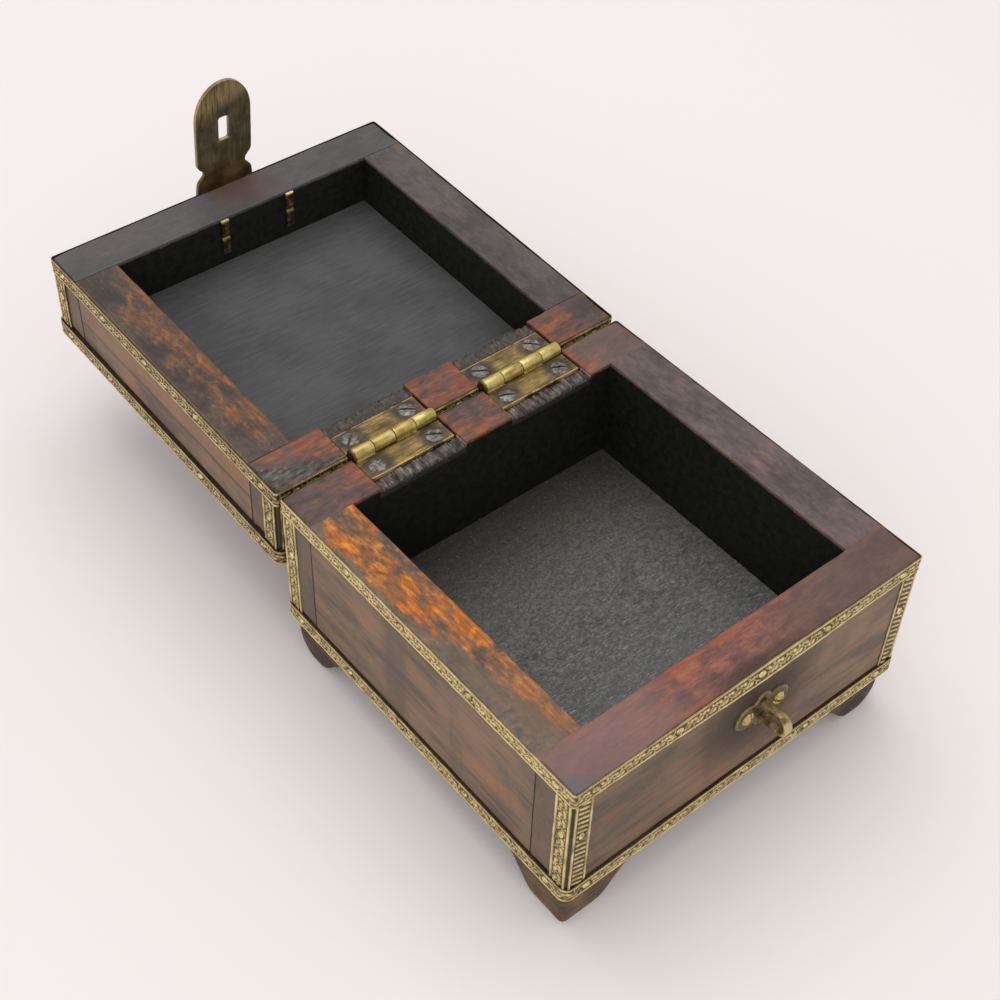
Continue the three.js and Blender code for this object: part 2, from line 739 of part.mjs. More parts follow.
// Lid: walls, inner panel, top board and binding, built shut
addWalls(lid, lidFrame, cotterCuts());
const lidPanel = innerPanel(lidFrame, [lidFrame.high - lidPanelThickness, lidFrame.high]);
addPiece(lid, 'lid_inner_panel', lidPanel, paintedBlack());
const topBoardLow = lidFrame.high + seam;
const topBoardHeights = [topBoardLow, topBoardLow + topBoardThickness];
const topBoard = overhangingBoard(lidFrame, topBoardOverhang, topBoardHeights);
addPiece(lid, 'lid_top_board', topBoard, darkWood());
addPiece(lid, 'lid_rim_band', rimBand(lidFrame), stampedBrass());
const topBand = ringBand(lidFrame, topBoardOverhang + seam, boardCornerRadius + seam, topBoardHeights);
addPiece(lid, 'lid_top_band', topBand, stampedBrass());
addCornerStrips(lid, lidFrame);

// Hinges: the base carries the first and third knuckles and the pin, the lid the second and fourth
addHingeHalf(base, baseFrame, -1, [0, 2], slotTurns);
addHingeHalf(lid, lidFrame, 1, [1, 3], lidSlotTurns);
for (const hinge of hingePlaces) {
  const pin = barAlongX(hingePinRadius, hingeLength + 2 * hingePinEnd, 12).translate(hinge.x, axisY, axisZ);
  addPiece(base, `hinge_${hinge.name}_pin`, pin, darkBrass());
}

// Latch: staple on the base, hasp and cotter pins on the lid
addStaple(base);
addCotters(lid);
addHasp(hasp);

// The origin is the middle of the open box's footprint, on the surface that it stands on
model.updateMatrixWorld(true);
const reach = new THREE.Box3().setFromObject(model, true);
model.position.set(-(reach.min.x + reach.max.x) / 2, -(reach.min.y + reach.max.y) / 2, -reach.min.z);

export default model;
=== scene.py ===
import json
import math

import bpy
import numpy as np
from mathutils import Matrix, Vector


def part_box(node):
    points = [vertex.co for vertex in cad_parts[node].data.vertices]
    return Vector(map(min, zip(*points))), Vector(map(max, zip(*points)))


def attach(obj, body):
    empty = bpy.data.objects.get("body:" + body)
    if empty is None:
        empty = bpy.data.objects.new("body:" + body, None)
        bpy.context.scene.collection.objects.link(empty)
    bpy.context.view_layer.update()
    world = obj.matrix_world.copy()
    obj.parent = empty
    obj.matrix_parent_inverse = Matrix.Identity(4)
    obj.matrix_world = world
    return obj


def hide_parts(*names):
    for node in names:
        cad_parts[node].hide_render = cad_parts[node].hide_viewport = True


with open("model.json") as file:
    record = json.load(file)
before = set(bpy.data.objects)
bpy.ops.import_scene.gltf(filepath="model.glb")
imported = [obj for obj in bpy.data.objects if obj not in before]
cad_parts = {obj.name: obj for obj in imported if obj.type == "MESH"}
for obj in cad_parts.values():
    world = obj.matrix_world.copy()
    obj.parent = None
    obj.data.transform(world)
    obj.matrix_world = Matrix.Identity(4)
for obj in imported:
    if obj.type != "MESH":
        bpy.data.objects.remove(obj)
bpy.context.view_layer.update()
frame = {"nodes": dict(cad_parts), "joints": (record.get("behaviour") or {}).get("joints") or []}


# The box and lid walls: eight boards of a close-grained hardwood, stained red-brown. Front and back boards
# run the full width and the side boards butt between them. Years of handling have rubbed the rims through
# to orange wood, and soot-dark stain is left in the corners. Inside they are brushed black, written much
# darker than the same paint on the floor as painted shade, and a painted shadow line runs along the foot of
# each outer face.
MM = 0.001
HASP_LEAN = math.radians(4.5)
joint = {j["name"]: j for j in frame["joints"]}
plinth_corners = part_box("plinth_board")
base_middle = (plinth_corners[0].y + plinth_corners[1].y) / 2 / MM
lid_tilt = math.pi - math.radians(joint["lid_hinge"]["range_deg"][1])
lid_axis = np.array(joint["lid_hinge"]["pos_m"]) / MM
hasp_axis = np.array(joint["hasp_hinge"]["pos_m"]) / MM
# Each body's own frame in millimetres, X along the hinges and Z up from its rim: its tilt and its origin.
placed = {
    "base": (0.0, np.array([0.0, base_middle, 0.0])),
    "lid": (lid_tilt, lid_axis),
    "hasp": (lid_tilt + HASP_LEAN, hasp_axis),
}


def turn_of(body):
    """The body's rotation: a turn about X by its tilt."""
    c, s = math.cos(placed[body][0]), math.sin(placed[body][0])
    return np.array([[1, 0, 0], [0, c, -s], [0, s, c]])


def in_place(points, body):
    """Points of a body's own frame, turned by its tilt and carried to its origin, in metres."""
    return (points @ turn_of(body).T + placed[body][1]) * MM


def extent(node, body):
    """Lowest and highest corner of a CAD node, measured in its body's own frame."""
    mesh = frame["nodes"][node].data
    corners = np.empty(len(mesh.vertices) * 3)
    mesh.vertices.foreach_get("co", corners)
    own = (corners.reshape(-1, 3) / MM - placed[body][1]) @ turn_of(body)
    return own.min(0), own.max(0)


def make_piece(name, points, faces, body, finish, stands_for=(), values=None, sharp=32):
    """A mesh from points and four-sided faces in a body's own frame. Points that coincide become one, and a
    face that loses a corner to that becomes a triangle. values are one number a point, kept as 'relief'."""
    keys = np.round(points / 1e-3).astype(np.int64)
    _, first, member = np.unique(keys, axis=0, return_index=True, return_inverse=True)
    member = member.ravel()
    quads = member[faces]
    doubled = quads == np.roll(quads, -1, axis=1)
    whole = quads[doubled.sum(1) == 0]
    pinched = doubled.sum(1) == 1
    triangles = quads[pinched][~doubled[pinched]].reshape(-1, 3)
    mesh = bpy.data.meshes.new(name)
    mesh.from_pydata(in_place(points[first], body), [], whole.tolist() + triangles.tolist())
    if values is not None:
        relief = mesh.attributes.new("relief", "FLOAT", "POINT")
        relief.data.foreach_set("value", values[first].astype(np.float32))
    mesh.polygons.foreach_set("use_smooth", np.ones(len(mesh.polygons), bool))
    mesh.set_sharp_from_angle(angle=math.radians(sharp))
    mesh.materials.append(finish)
    piece = bpy.data.objects.new(name, mesh)
    bpy.context.scene.collection.objects.link(piece)
    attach(piece, body)
    if stands_for:
        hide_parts(*stands_for)
    return piece


def grid_faces(rows, columns, start=0, rows_join=False, columns_join=False):
    """The four-sided faces of a grid of points that are stored row by row. Where the rows or columns
    join, the last one is followed by the first."""
    row_steps, column_steps = np.arange(rows - 1 + rows_join), np.arange(columns - 1 + columns_join)
    i, j = np.meshgrid(row_steps, column_steps, indexing="ij")
    after_i, after_j = (i + 1) % rows, (j + 1) % columns
    corners = (i * columns + j, after_i * columns + j, after_i * columns + after_j, i * columns + after_j)
    return start + np.stack(corners, axis=-1).reshape(-1, 4)


def uneven(points, size, seed, waves=10):
    """A smooth random height about 1 high: a sum of sine waves in random directions, each about one size
    long."""
    draw = np.random.default_rng(seed)
    heading = draw.normal(size=(waves, 3))
    heading /= np.linalg.norm(heading, axis=1, keepdims=True)
    length = size * draw.uniform(0.7, 1.5, waves)
    phase = draw.uniform(0, 2 * np.pi, waves)
    return np.sin(points @ (heading * 2 * np.pi / length[:, None]).T + phase).sum(1) / math.sqrt(waves)


def step_between(value, start, end):
    """0 at start and 1 at end, and between them the share of the way squared, times three less twice the
    share."""
    t = np.clip((value - start) / (end - start), 0, 1)
    return t * t * (3 - 2 * t)


def tone(red, green, blue):
    """A colour as an eye reads it off the piece, 0 to 255, turned into the light values that shading
    works in: the share of full brightness to the power 2.4, with a straight line for the darkest ones."""
    share = np.array([red, green, blue]) / 255
    return tuple(np.where(share <= 0.04045, share / 12.92, ((share + 0.055) / 1.055) ** 2.4)) + (1.0,)


class Finish:
    """One finish, built up as a chain of nodes. Every method adds a node and gives back what comes out of
    it."""

    def __init__(self, name, body):
        """A new material that reads its places in the body's own frame, in millimetres."""
        self.material = bpy.data.materials.new(name)
        self.material.use_nodes = True
        self.tree = self.material.node_tree
        self.shader = self.tree.nodes["Principled BSDF"]
        seen = self.add("TexCoord").outputs["Object"]
        own = self.add("Mapping", vector_type="TEXTURE")
        own.inputs["Location"].default_value = placed[body][1] * MM
        own.inputs["Rotation"].default_value = (placed[body][0], 0, 0)
        own.inputs["Scale"].default_value = (MM, MM, MM)
        self.feed(own.inputs["Vector"], seen)
        self.place = own.outputs["Vector"]
        apart = self.add("SeparateXYZ")
        self.feed(apart.inputs[0], self.place)
        self.x, self.y, self.z = apart.outputs

    def add(self, kind, **settings):
        """A new node of a kind, with its settings."""
        node = self.tree.nodes.new("ShaderNode" + kind)
        for setting, value in settings.items():
            setattr(node, setting, value)
        return node

    def feed(self, socket, value):
        """Links a node's output to a socket, or writes a plain value there."""
        if isinstance(value, bpy.types.NodeSocket):
            self.tree.links.new(value, socket)
        else:
            socket.default_value = value

    def math(self, how, a, b=0.0):
        """One sum on two values."""
        node = self.add("Math", operation=how)
        self.feed(node.inputs[0], a)
        self.feed(node.inputs[1], b)
        return node.outputs[0]

    def plus(self, *terms):
        """All the terms added up."""
        total = terms[0]
        for term in terms[1:]:
            total = self.math("ADD", total, term)
        return total

    def times(self, *terms):
        """All the terms multiplied."""
        total = terms[0]
        for term in terms[1:]:
            total = self.math("MULTIPLY", total, term)
        return total

    def blended(self, *pairs):
        """A weighted sum of (value, weight) pairs."""
        return self.plus(*[self.times(value, weight) for value, weight in pairs])

    def fade(self, value, start, end):
        """0 where the value is at start and 1 where it is at end, smooth between them."""
        node = self.add("MapRange", interpolation_type="SMOOTHSTEP")
        self.feed(node.inputs["Value"], value)
        self.feed(node.inputs["From Min"], start)
        self.feed(node.inputs["From Max"], end)
        return node.outputs[0]

    def far_from(self, value, centre):
        """How far a value is from a centre."""
        return self.math("ABSOLUTE", self.plus(value, -centre))

    def spot(self, a, b, centre, inner, outer):
        """1 inside a round spot on two coordinates and 0 outside it, smooth between the two radii. The
        distance is the root of the two squares added."""
        away = (self.far_from(a, centre[0]), self.far_from(b, centre[1]))
        squares = [self.math("POWER", part, 2.0) for part in away]
        return self.fade(self.math("SQRT", self.plus(*squares)), outer, inner)

    def mottle(self, size, drawn=(1, 1, 1), detail=4, rough=0.55, twist=0.0, shift=0.0, turn=0.0):
        """Noise with spots of a given size, drawn out along each axis, about 0.5 in the mean."""
        where = self.add("Mapping")
        self.feed(where.inputs["Vector"], self.place)
        where.inputs["Location"].default_value = (shift, shift * 1.7, shift * 0.6)
        where.inputs["Rotation"].default_value = (0, 0, turn)
        where.inputs["Scale"].default_value = [1 / (size * d) for d in drawn]
        noise = self.add("TexNoise")
        self.feed(noise.inputs["Vector"], where.outputs[0])
        noise.inputs["Scale"].default_value = 1
        noise.inputs["Detail"].default_value = detail
        noise.inputs["Roughness"].default_value = rough
        noise.inputs["Distortion"].default_value = twist
        return noise.outputs[0]

    def wander(self, reach, size, drawn=(1, 1, 1), **grain):
        """The same noise about 0 in the mean, multiplied by a reach."""
        return self.times(self.plus(self.mottle(size, drawn, **grain), -0.5), reach)

    def ramp(self, value, *stops):
        """A colour read off a scale of (place, colour) stops."""
        node = self.add("ValToRGB")
        self.feed(node.inputs[0], value)
        scale = node.color_ramp.elements
        while len(scale) < len(stops):
            scale.new(0.5)
        for element, (position, color) in zip(scale, stops):
            element.position = position
            element.color = color
        return node.outputs["Color"]

    def lay(self, under, over, *shares):
        """One colour laid over another, as strongly as the shares multiplied together say."""
        node = self.add("Mix", data_type="RGBA", clamp_factor=True)
        self.feed(node.inputs[0], self.times(*shares))
        self.feed(node.inputs[6], under)
        self.feed(node.inputs[7], over)
        return node.outputs[2]

    def done(self, color, roughness, metallic=0.0, bump=None, depth=0.1, specular=0.5):
        """Joins the colour, roughness and bump to the shader. depth is the bump's height in millimetres."""
        self.feed(self.shader.inputs["Base Color"], color)
        self.feed(self.shader.inputs["Roughness"], roughness)
        self.feed(self.shader.inputs["Metallic"], metallic)
        self.shader.inputs["Specular IOR Level"].default_value = specular
        if bump is not None:
            relief = self.add("Bump")
            relief.inputs["Distance"].default_value = depth * MM
            self.feed(relief.inputs["Height"], bump)
            self.feed(self.shader.inputs["Normal"], relief.outputs[0])
        return self.material


EDGE_WEAR = 0.55
BUTT_EDGE = 0.03
CORNER_WEAR = 0.6
half_width = extent("base_front_board", "base")[1][0]
wall_side = extent("base_left_board", "base")[1][0] + half_width
base_rim = extent("base_left_board", "base")[1][2]
lid_rim = extent("lid_left_board", "lid")[1][2]
rim_of = {"base": base_rim, "lid": lid_rim}


def spaced(low, high, step, close=(0.0, 0.12, 0.3, 0.55, 0.95), extra=()):
    """Grid lines from low to high: a step apart in the middle, close together near both ends, and the
    extra ones."""
    close = np.array(close)
    count = max(2, int(round((high - low - 2 * close[-1]) / step)) + 1)
    middle = np.linspace(low + close[-1], high - close[-1], count)
    return np.unique(np.round(np.concatenate([low + close, middle, high - close, np.array(extra)]), 4))


def box_surface(lines):
    """The six faces of a box as grids. On each face one coordinate is fixed, and the next two in order X,
    Y, Z run over their lines, so that the face points out on the high side and is turned round on the low
    side."""
    points, faces, count = [], [], 0
    for fixed in range(3):
        across, along = (fixed + 1) % 3, (fixed + 2) % 3
        a, b = np.meshgrid(lines[across], lines[along], indexing="ij")
        for end in (0, -1):
            sheet = np.empty((a.size, 3))
            sheet[:, fixed] = lines[fixed][end]
            sheet[:, across] = a.ravel()
            sheet[:, along] = b.ravel()
            corners = grid_faces(*a.shape, start=count)
            faces.append(corners if end == -1 else corners[:, ::-1])
            points.append(sheet)
            count += a.size
    return np.concatenate(points), np.concatenate(faces)


def worn_round(points, low, high, radius):
    """Rounds a box: each point goes to its nearest place on the box shrunk by the radius, then out by the
    radius."""
    low, high = np.array(low), np.array(high)
    radius = radius[:, None]
    core = np.clip(points, low + radius, high - radius)
    away = points - core
    length = np.linalg.norm(away, axis=1, keepdims=True)
    return core + away * radius / np.maximum(length, 1e-9)


# The hinge mortises cut across both back boards, as found from the leaves and the pins.
MORTISE_SPARE = 0.7
MORTISE_DEPTH = 2.65
LEDGE_START = 12.3
CHISEL_PITCH = 1.15
hinge_ends = {side: extent(f"hinge_{side}_base_leaf", "base") for side in ("left", "right")}
mortise_edges = [e[0] + s * MORTISE_SPARE for ends in hinge_ends.values() for e, s in zip(ends, (-1, 1))]
axis_of = {"base": (lid_axis[1] - base_middle, lid_axis[2]), "lid": (0.0, 0.0)}
LEDGE_DROP = {"base": 2.0, "lid": 1.1}
LEDGE_CUTS = {"base": 1.0, "lid": 0.3}


def mortise_drop(points, body):
    """How far the rim of a back board is cut down: the full depth under a hinge leaf, and behind it a ledge
    left by a chisel: a row of short cuts side by side on the base, torn and shallow on the lid."""
    reach = np.abs(points[:, 1] - axis_of[body][0])
    flat = points * [1, 1, 0]
    behind = step_between(reach, LEDGE_START - 0.2, LEDGE_START + 0.2)
    drop = np.zeros(len(points))
    for number, (left, right) in enumerate((mortise_edges[:2], mortise_edges[2:])):
        past_left = step_between(points[:, 0], left, left + 0.1)
        inside = past_left * step_between(points[:, 0], right, right - 0.1)
        torn = uneven(flat * [1, 0.35, 1], 2.1, 31 + number) * 0.2 + uneven(flat, 4.5, 41 + number) * 0.15
        wander = 0.45 * uneven(flat * [1, 0.3, 0], 6.0, 61 + number)
        cuts = 0.5 * np.abs(np.sin(np.pi * (points[:, 0] + wander) / CHISEL_PITCH)) - 0.25
        ragged = step_between(reach, 16.4, 17.9) * (0.45 + 0.6 * uneven(flat, 1.6, 51 + number))
        ledge = np.clip(LEDGE_DROP[body] + torn + LEDGE_CUTS[body] * cuts + ragged, 0.7, 3.6)
        drop += inside * (MORTISE_DEPTH * (1 - behind) + ledge * behind)
    return drop


CHIP_LONG = 28.0
CHIP_DEEP = 12.5
CHIP_START = 1.5


def chip_drop(points):
    """The three-cornered piece broken off the lid's back left corner: shallow, with long torn fibres in
    it."""
    across = (points[:, 0] + half_width) / CHIP_LONG
    along = (points[:, 1] - CHIP_START) / CHIP_DEEP
    flat = points * [1, 1, 0]
    gone = step_between(across + along + 0.05 * uneven(flat, 4, 61), 1.02, 0.94)
    fibres = 0.26 * uneven(flat * [0.16, 1, 1], 1.6, 62) + 0.16 * uneven(flat * [0.3, 1, 1], 0.9, 63)
    return gone * (0.65 + fibres + 0.9 * step_between(across + along, 0.9, 0.1))


# The front rim is worn about the latch: the board leans in over a height, and its outer edge is lowered.
SAG_MIDDLE = 4.0
SAG_HALF = 55.0
LEAN_IN = 1.35
LEAN_START = 8.5
LEAN_TALL = 6.4
LEAN_DEEP = 8.0
EDGE_DROP = 1.1
EDGE_DROP_DEEP = 5.0


def sag(x):
    """How worn the front rim is by the place along it, 0 to 1: the cosine of the way out from the latch,
    squared."""
    away = np.clip((x - SAG_MIDDLE) / SAG_HALF, -1, 1)
    return np.cos(away * np.pi / 2) ** 2


# A line scratched along the base's front above the plinth.
SCRATCH_RISE = 4.2
SCRATCH_DEEP = 0.3
SCRATCH_HALF = 0.25


def wear_front(points, low, high):
    """Scratches the line along the base's front and wears its rim. The line's depth falls off by the
    square of the height from it. The lean grows evenly with height and dies away with depth, and both
    follow the sag."""
    wavy = uneven(points * [1, 0, 0], 60, 7)
    line = np.exp(-(((points[:, 2] - (low[2] + SCRATCH_RISE) - 0.2 * wavy) / SCRATCH_HALF) ** 2))
    points[:, 1] += SCRATCH_DEEP * step_between(points[:, 1], low[1] + 1, low[1]) * line
    worn = sag(points[:, 0])
    from_outside = points[:, 1] - low[1]
    climb = np.clip((points[:, 2] - high[2] + LEAN_START) / LEAN_TALL, 0, 1.3)
    points[:, 1] += LEAN_IN * worn * climb * np.clip(1 - from_outside / LEAN_DEEP, 0, 1)
    lowered = np.clip(1 - from_outside / EDGE_DROP_DEEP, 0, 1) ** 2
    points[:, 2] -= EDGE_DROP * worn * lowered * step_between(points[:, 2], high[2] - 3, high[2])


# The heights under a back board's rim that the mortises and the chip draw down, so that the board's foot
# stays.
CUT_TALL = 7.0


def board_lines(name, body, low, high, ends_butt):
    """The grid lines of one board along X, Y and Z: wide apart across plain wood, and close where the
    mortises, the chip, the scratched line or the worn slope are."""
    xs = spaced(low[0], high[0], 1.6 if ends_butt else 2.4)
    ys = spaced(low[1], high[1], 2.4 if ends_butt else 1.4)
    zs = spaced(low[2], high[2], 3.0)
    if "back" in name:
        steps = [e + s for e, inward in zip(mortise_edges, (1, -1, 1, -1)) for s in (0, 0.1 * inward)]
        rough = np.concatenate([np.arange(*mortise_edges[:2], 0.29), np.arange(*mortise_edges[2:], 0.29)])
        chip = np.arange(low[0], low[0] + CHIP_LONG + 1, 0.8) if body == "lid" else []
        xs = spaced(low[0], high[0], 2.4, extra=np.concatenate([steps, rough, chip]))
        ys = spaced(low[1], high[1], 0.45)
        zs = spaced(low[2], high[2], 3.0, extra=np.linspace(high[2] - CUT_TALL, high[2], 10))
    if name == "base_front_board":
        ys = spaced(low[1], high[1], 0.8)
        zs = spaced(low[2], high[2], 1.0, extra=low[2] + SCRATCH_RISE + np.linspace(-0.5, 0.5, 5))
    return xs, ys, zs


def wall_board(name, body, finish, ends_butt, seed):
    """One board as a rounded box with fine grid lines. Where it butts against another its edges stay
    square; elsewhere the rounding follows the wear. Back boards are cut down by the mortises and the
    base's front board is worn. Last, every face swells and sinks a little, as planed by hand."""
    low, high = extent(name, body)
    points, faces = box_surface(board_lines(name, body, low, high, ends_butt))
    from_middle = np.abs(points[:, 0])
    radius = EDGE_WEAR * (1 + 0.4 * uneven(points, 16, seed))
    if ends_butt:
        low[1], high[1] = low[1] - 5, high[1] + 5
    else:
        radius += CORNER_WEAR * step_between(from_middle, half_width - 6, half_width - 1)
        inner = high[1] if name in ("base_front_board", "lid_back_board") else low[1]
        beside = step_between(from_middle, half_width - wall_side - 1, half_width - wall_side)
        butting = beside * step_between(np.abs(points[:, 1] - inner), 3, 1.5)
        radius = radius * (1 - butting) + BUTT_EDGE * butting
    points = worn_round(points, low, high, radius)
    if "back" in name:
        drop = mortise_drop(points, body) + (chip_drop(points) if body == "lid" else 0)
        points[:, 2] -= drop * np.clip((points[:, 2] - (high[2] - CUT_TALL)) / CUT_TALL, 0, 1)
    if name == "base_front_board":
        wear_front(points, low, high)
    planed = 0.05 * uneven(points, 22, seed + 1)
    points += planed[:, None] * np.sign(points - (low + high) / 2) * [not ends_butt, ends_butt, 1] * 0.6
    make_piece(name + "_worn", points, faces, body, finish, [name])


# How far under the rim the painted shadow line along a wall's foot lies, above the plinth or the lid's top
# board: from where it begins to darken to where it is darkest.
WALL_FOOT_SHADOW = {"base": (50.0, 50.9), "lid": (28.6, 29.4)}


def wood_finish(name, body, inner, tones, wear, seed):
    """The stained wood of one board. On the rim, mottles a few millimetres long decide where the stain has
    gone, and wear says how much of it goes where. The outer face is warm brown in soft clouds with darker
    stains from top to bottom, a painted shadow line along its foot and painted shade at the outer ends of
    front and back boards beside the corner strips; end grain is greyer, and the inner face is brushed
    black, written much darker than the floor's same paint as painted shade."""
    f = Finish(name, body)
    rim = rim_of[body]
    axis, edge, sense = inner
    lengthways = axis == "y"

    def drawn(ratio):
        """Noise drawn out along the board."""
        return (ratio, 1, 1) if lengthways else (1, ratio, 1)

    hair = f.mottle(0.5, drawn(11), detail=3, shift=seed)
    fleck = f.mottle(1.5, drawn(2.2), rough=0.65, shift=seed + 5)
    patch = f.mottle(4.4, drawn(1.9), rough=0.6, twist=0.5, shift=seed + 3)
    cloud = f.mottle(17, drawn(1.4), detail=3, rough=0.5, shift=seed + 9)
    shade = f.blended((cloud, 0.4), (patch, 0.35), (fleck, 0.25))
    stain = f.ramp(shade, (0.4, tones["dark"]), (0.5, tones["mid"]), (0.6, tones["light"]))
    gone = f.plus(f.blended((patch, 0.5), (fleck, 0.2), (cloud, 0.3)), wear(f))
    long_streak = f.mottle(1.5, drawn(6.5), rough=0.6, twist=0.3, shift=seed + 13)
    glow = f.blended((fleck, 0.25), (long_streak, 0.45), (patch, 0.3))
    rubbed = f.ramp(glow, (0.38, tones["deep"]), (0.5, tones["worn"]), (0.62, tones["bright"]))
    top = f.lay(stain, rubbed, f.fade(gone, 0.42, 0.62))
    scratches = f.fade(f.mottle(0.28, (46, 1, 1), detail=2, shift=seed + 33, turn=0.5 + seed), 0.7, 0.78)
    top = f.lay(top, tone(176, 160, 150), scratches, 0.3)
    top = f.lay(top, tone(44, 34, 30), f.fade(hair, 0.44, 0.36), 0.28)

    side_streak = f.mottle(1.8, drawn(10), shift=seed + 40)
    side_cloud = f.mottle(12, drawn(2.6), detail=3, rough=0.5, twist=0.4, shift=seed + 47)
    side_tones = ((0.4, tone(100, 86, 74)), (0.5, tone(124, 103, 87)), (0.6, tone(140, 110, 88)))
    outer = f.ramp(f.blended((side_streak, 0.4), (side_cloud, 0.6)), *side_tones)
    rusty = f.blended((side_streak, 0.5), (f.mottle(9, drawn(3.5), detail=3, shift=seed + 50), 0.5))
    outer = f.lay(outer, tone(160, 106, 64), f.fade(rusty, 0.52, 0.62), 0.4)
    upright = f.fade(f.mottle(13, (1, 1, 4), detail=3, twist=0.3, shift=seed + 60), 0.5, 0.68)
    outer = f.lay(outer, tone(88, 82, 76), upright, 0.4)
    inward = f.times(f.plus({"x": f.x, "y": f.y}[axis], -edge), sense)
    if lengthways:
        from_middle = f.far_from(f.x, 0)
        outer = f.lay(outer, tone(98, 84, 74), f.fade(from_middle, half_width - 1.2, half_width - 0.5), 0.6)
        # Painted shade at the board's outer end, in the corner beside the corner strips.
        shade_beside_strip = f.fade(from_middle, half_width - 2.6, half_width - 1.8)
        outer = f.lay(outer, tone(44, 36, 30), shade_beside_strip, f.fade(inward, -10.5, -11.5), 0.8)
    # A thin painted shadow line along the wall's foot, where the proud board below meets it.
    outer = f.lay(outer, tone(46, 38, 33), f.fade(f.far_from(f.z, rim), *WALL_FOOT_SHADOW[body]), 0.6)

    ragged = f.wander(1.3, 2.5, shift=seed + 70)
    on_rim = f.fade(f.plus(f.z, ragged), rim - 1.7, rim - 0.9)
    inside = f.fade(f.plus(inward, f.times(ragged, 0.3)), -0.9, -0.35)
    brushed = f.mottle(3, detail=5, shift=seed + 80)
    # The brushed black inside, written much darker than the same paint on the floor panels: painted shade.
    painted = f.ramp(brushed, (0.35, tone(16, 17, 13)), (0.7, tone(34, 34, 28)))
    color = f.lay(f.lay(outer, painted, inside), top, on_rim)
    lit_edge = f.fade(inward, -1.3, -0.5)
    color = f.lay(color, tones["worn"], lit_edge, on_rim, f.fade(patch, 0.4, 0.55), tones["edge"])
    gloss = f.plus(f.times(fleck, 0.25), f.times(patch, 0.2), f.times(on_rim, -0.08), 0.34)
    relief = f.blended((hair, 0.35), (fleck, 0.65))
    return f, color, gloss, relief, on_rim


# The torn wood by body: how far down it is palest, how fast it pales with height, which paints light on the
# higher ridges and shade in the hollows, and its least paleness.
TORN = {"base": (2.0, 0.26, 0.17), "lid": (1.2, 0.1, 0.06)}


def torn_wood(f, color, body):
    """Lays the chiselled ledges and the bottoms of the mortises over a back board's colour: grey torn
    fibres with pale flakes where the wood is fresh, paler on the higher ridges as painted light, and
    painted shade under the leaves."""
    rim = rim_of[body]
    depth, painted_light_by_height, least = TORN[body]
    flakes = f.mottle(1.0, (0.7, 2.0, 1), detail=5, rough=0.7, shift=2.2)
    # Higher ridges come out paler and hollows darker: painted light and shade by height, over the pale
    # flakes.
    pale = f.plus(f.times(flakes, 0.7), f.times(f.plus(f.z, depth - rim), painted_light_by_height), least)
    torn_tones = (
        (0.34, tone(54, 48, 43)), (0.48, tone(84, 77, 71)),
        (0.6, tone(116, 109, 102)), (0.74, tone(160, 154, 147)),
    )
    ledge = f.fade(f.far_from(f.y, axis_of[body][0]), 12.0, 12.6)
    # Under the leaves the mortise bottom is painted dark as shade.
    cut = f.lay(tone(44, 34, 28), f.ramp(pale, *torn_tones), ledge)
    parts = [
        f.times(f.fade(f.x, low[0] - 0.9, low[0] - 0.6), f.fade(f.x, high[0] + 0.9, high[0] + 0.6))
        for low, high in hinge_ends.values()
    ]
    low_place = f.fade(f.z, rim - 0.62, rim - 0.85)
    upper = f.fade(f.z, rim - 5.4, rim - 4.2)
    return f.lay(color, cut, low_place, upper, f.plus(*parts))


def wood_tones(stain, bare, edge):
    """The tones of one rim: the stain's and the bare wood's, each from dark to light, and how bright the
    rubbed inner edge is."""
    names = ("dark", "mid", "light", "deep", "worn", "bright")
    return {"edge": edge, **{name: tone(*color) for name, color in zip(names, stain + bare)}}


ORANGE_TONES = wood_tones(
    ((80, 70, 58), (104, 91, 76), (124, 110, 94)), ((126, 70, 26), (176, 96, 24), (230, 144, 52)), 0.6
)
RED_TONES = wood_tones(
    ((94, 64, 60), (122, 84, 76), (138, 102, 96)), ((118, 66, 50), (146, 84, 62), (170, 104, 76)), 0.6
)
TONGUE_TONES = wood_tones(
    ((70, 60, 56), (92, 74, 68), (108, 88, 82)), ((108, 60, 44), (130, 74, 52), (158, 98, 68)), 0.5
)
PLUM_TONES = wood_tones(
    ((78, 67, 65), (96, 84, 82), (110, 98, 97)), ((98, 74, 68), (114, 86, 78), (136, 104, 94)), 0.35
)
SOOT_TONES = wood_tones(
    ((70, 64, 62), (88, 80, 78), (102, 95, 94)), ((84, 74, 70), (94, 80, 75), (112, 92, 84)), 0.4
)
DARK_ORANGE_TONES = wood_tones(
    ((62, 52, 46), (82, 70, 63), (98, 86, 79)), ((94, 62, 40), (122, 78, 46), (164, 104, 54)), 0.5
)


# Each rim's wear is a sum of stretches, in the millimetres of its body's frame. More than 0 rubs the
# stain away there, and less than 0 keeps it.
def base_left_wear(f):
    """The base's left rim: rubbed to orange behind the middle, then a dark border that widens from the
    outside towards the front and leaves the orange in patches along the inner edge."""
    from_edge = f.plus(f.x, half_width)
    uneven_edge = f.wander(20, 8, (1, 1.8, 1), rough=0.6, shift=2.7)
    border = f.plus(f.times(f.fade(f.y, 18, -34), 8.5), 0.4, uneven_edge)
    kept = f.times(f.fade(f.plus(from_edge, f.times(border, -1)), 3.2, -2.6), -0.2)
    back_part = f.times(f.fade(f.y, -38, 0), 0.075)
    front_part = f.times(f.fade(f.y, -6, -34), f.fade(from_edge, 4, 12), 0.055)
    burnt = f.times(f.fade(from_edge, 13.2, 15.2), f.fade(f.y, 14, 24), f.fade(f.y, 46, 38), -0.1)
    ends = f.times(f.fade(f.y, 49, 56), -0.05)
    return f.plus(kept, back_part, front_part, burnt, ends, -0.03)


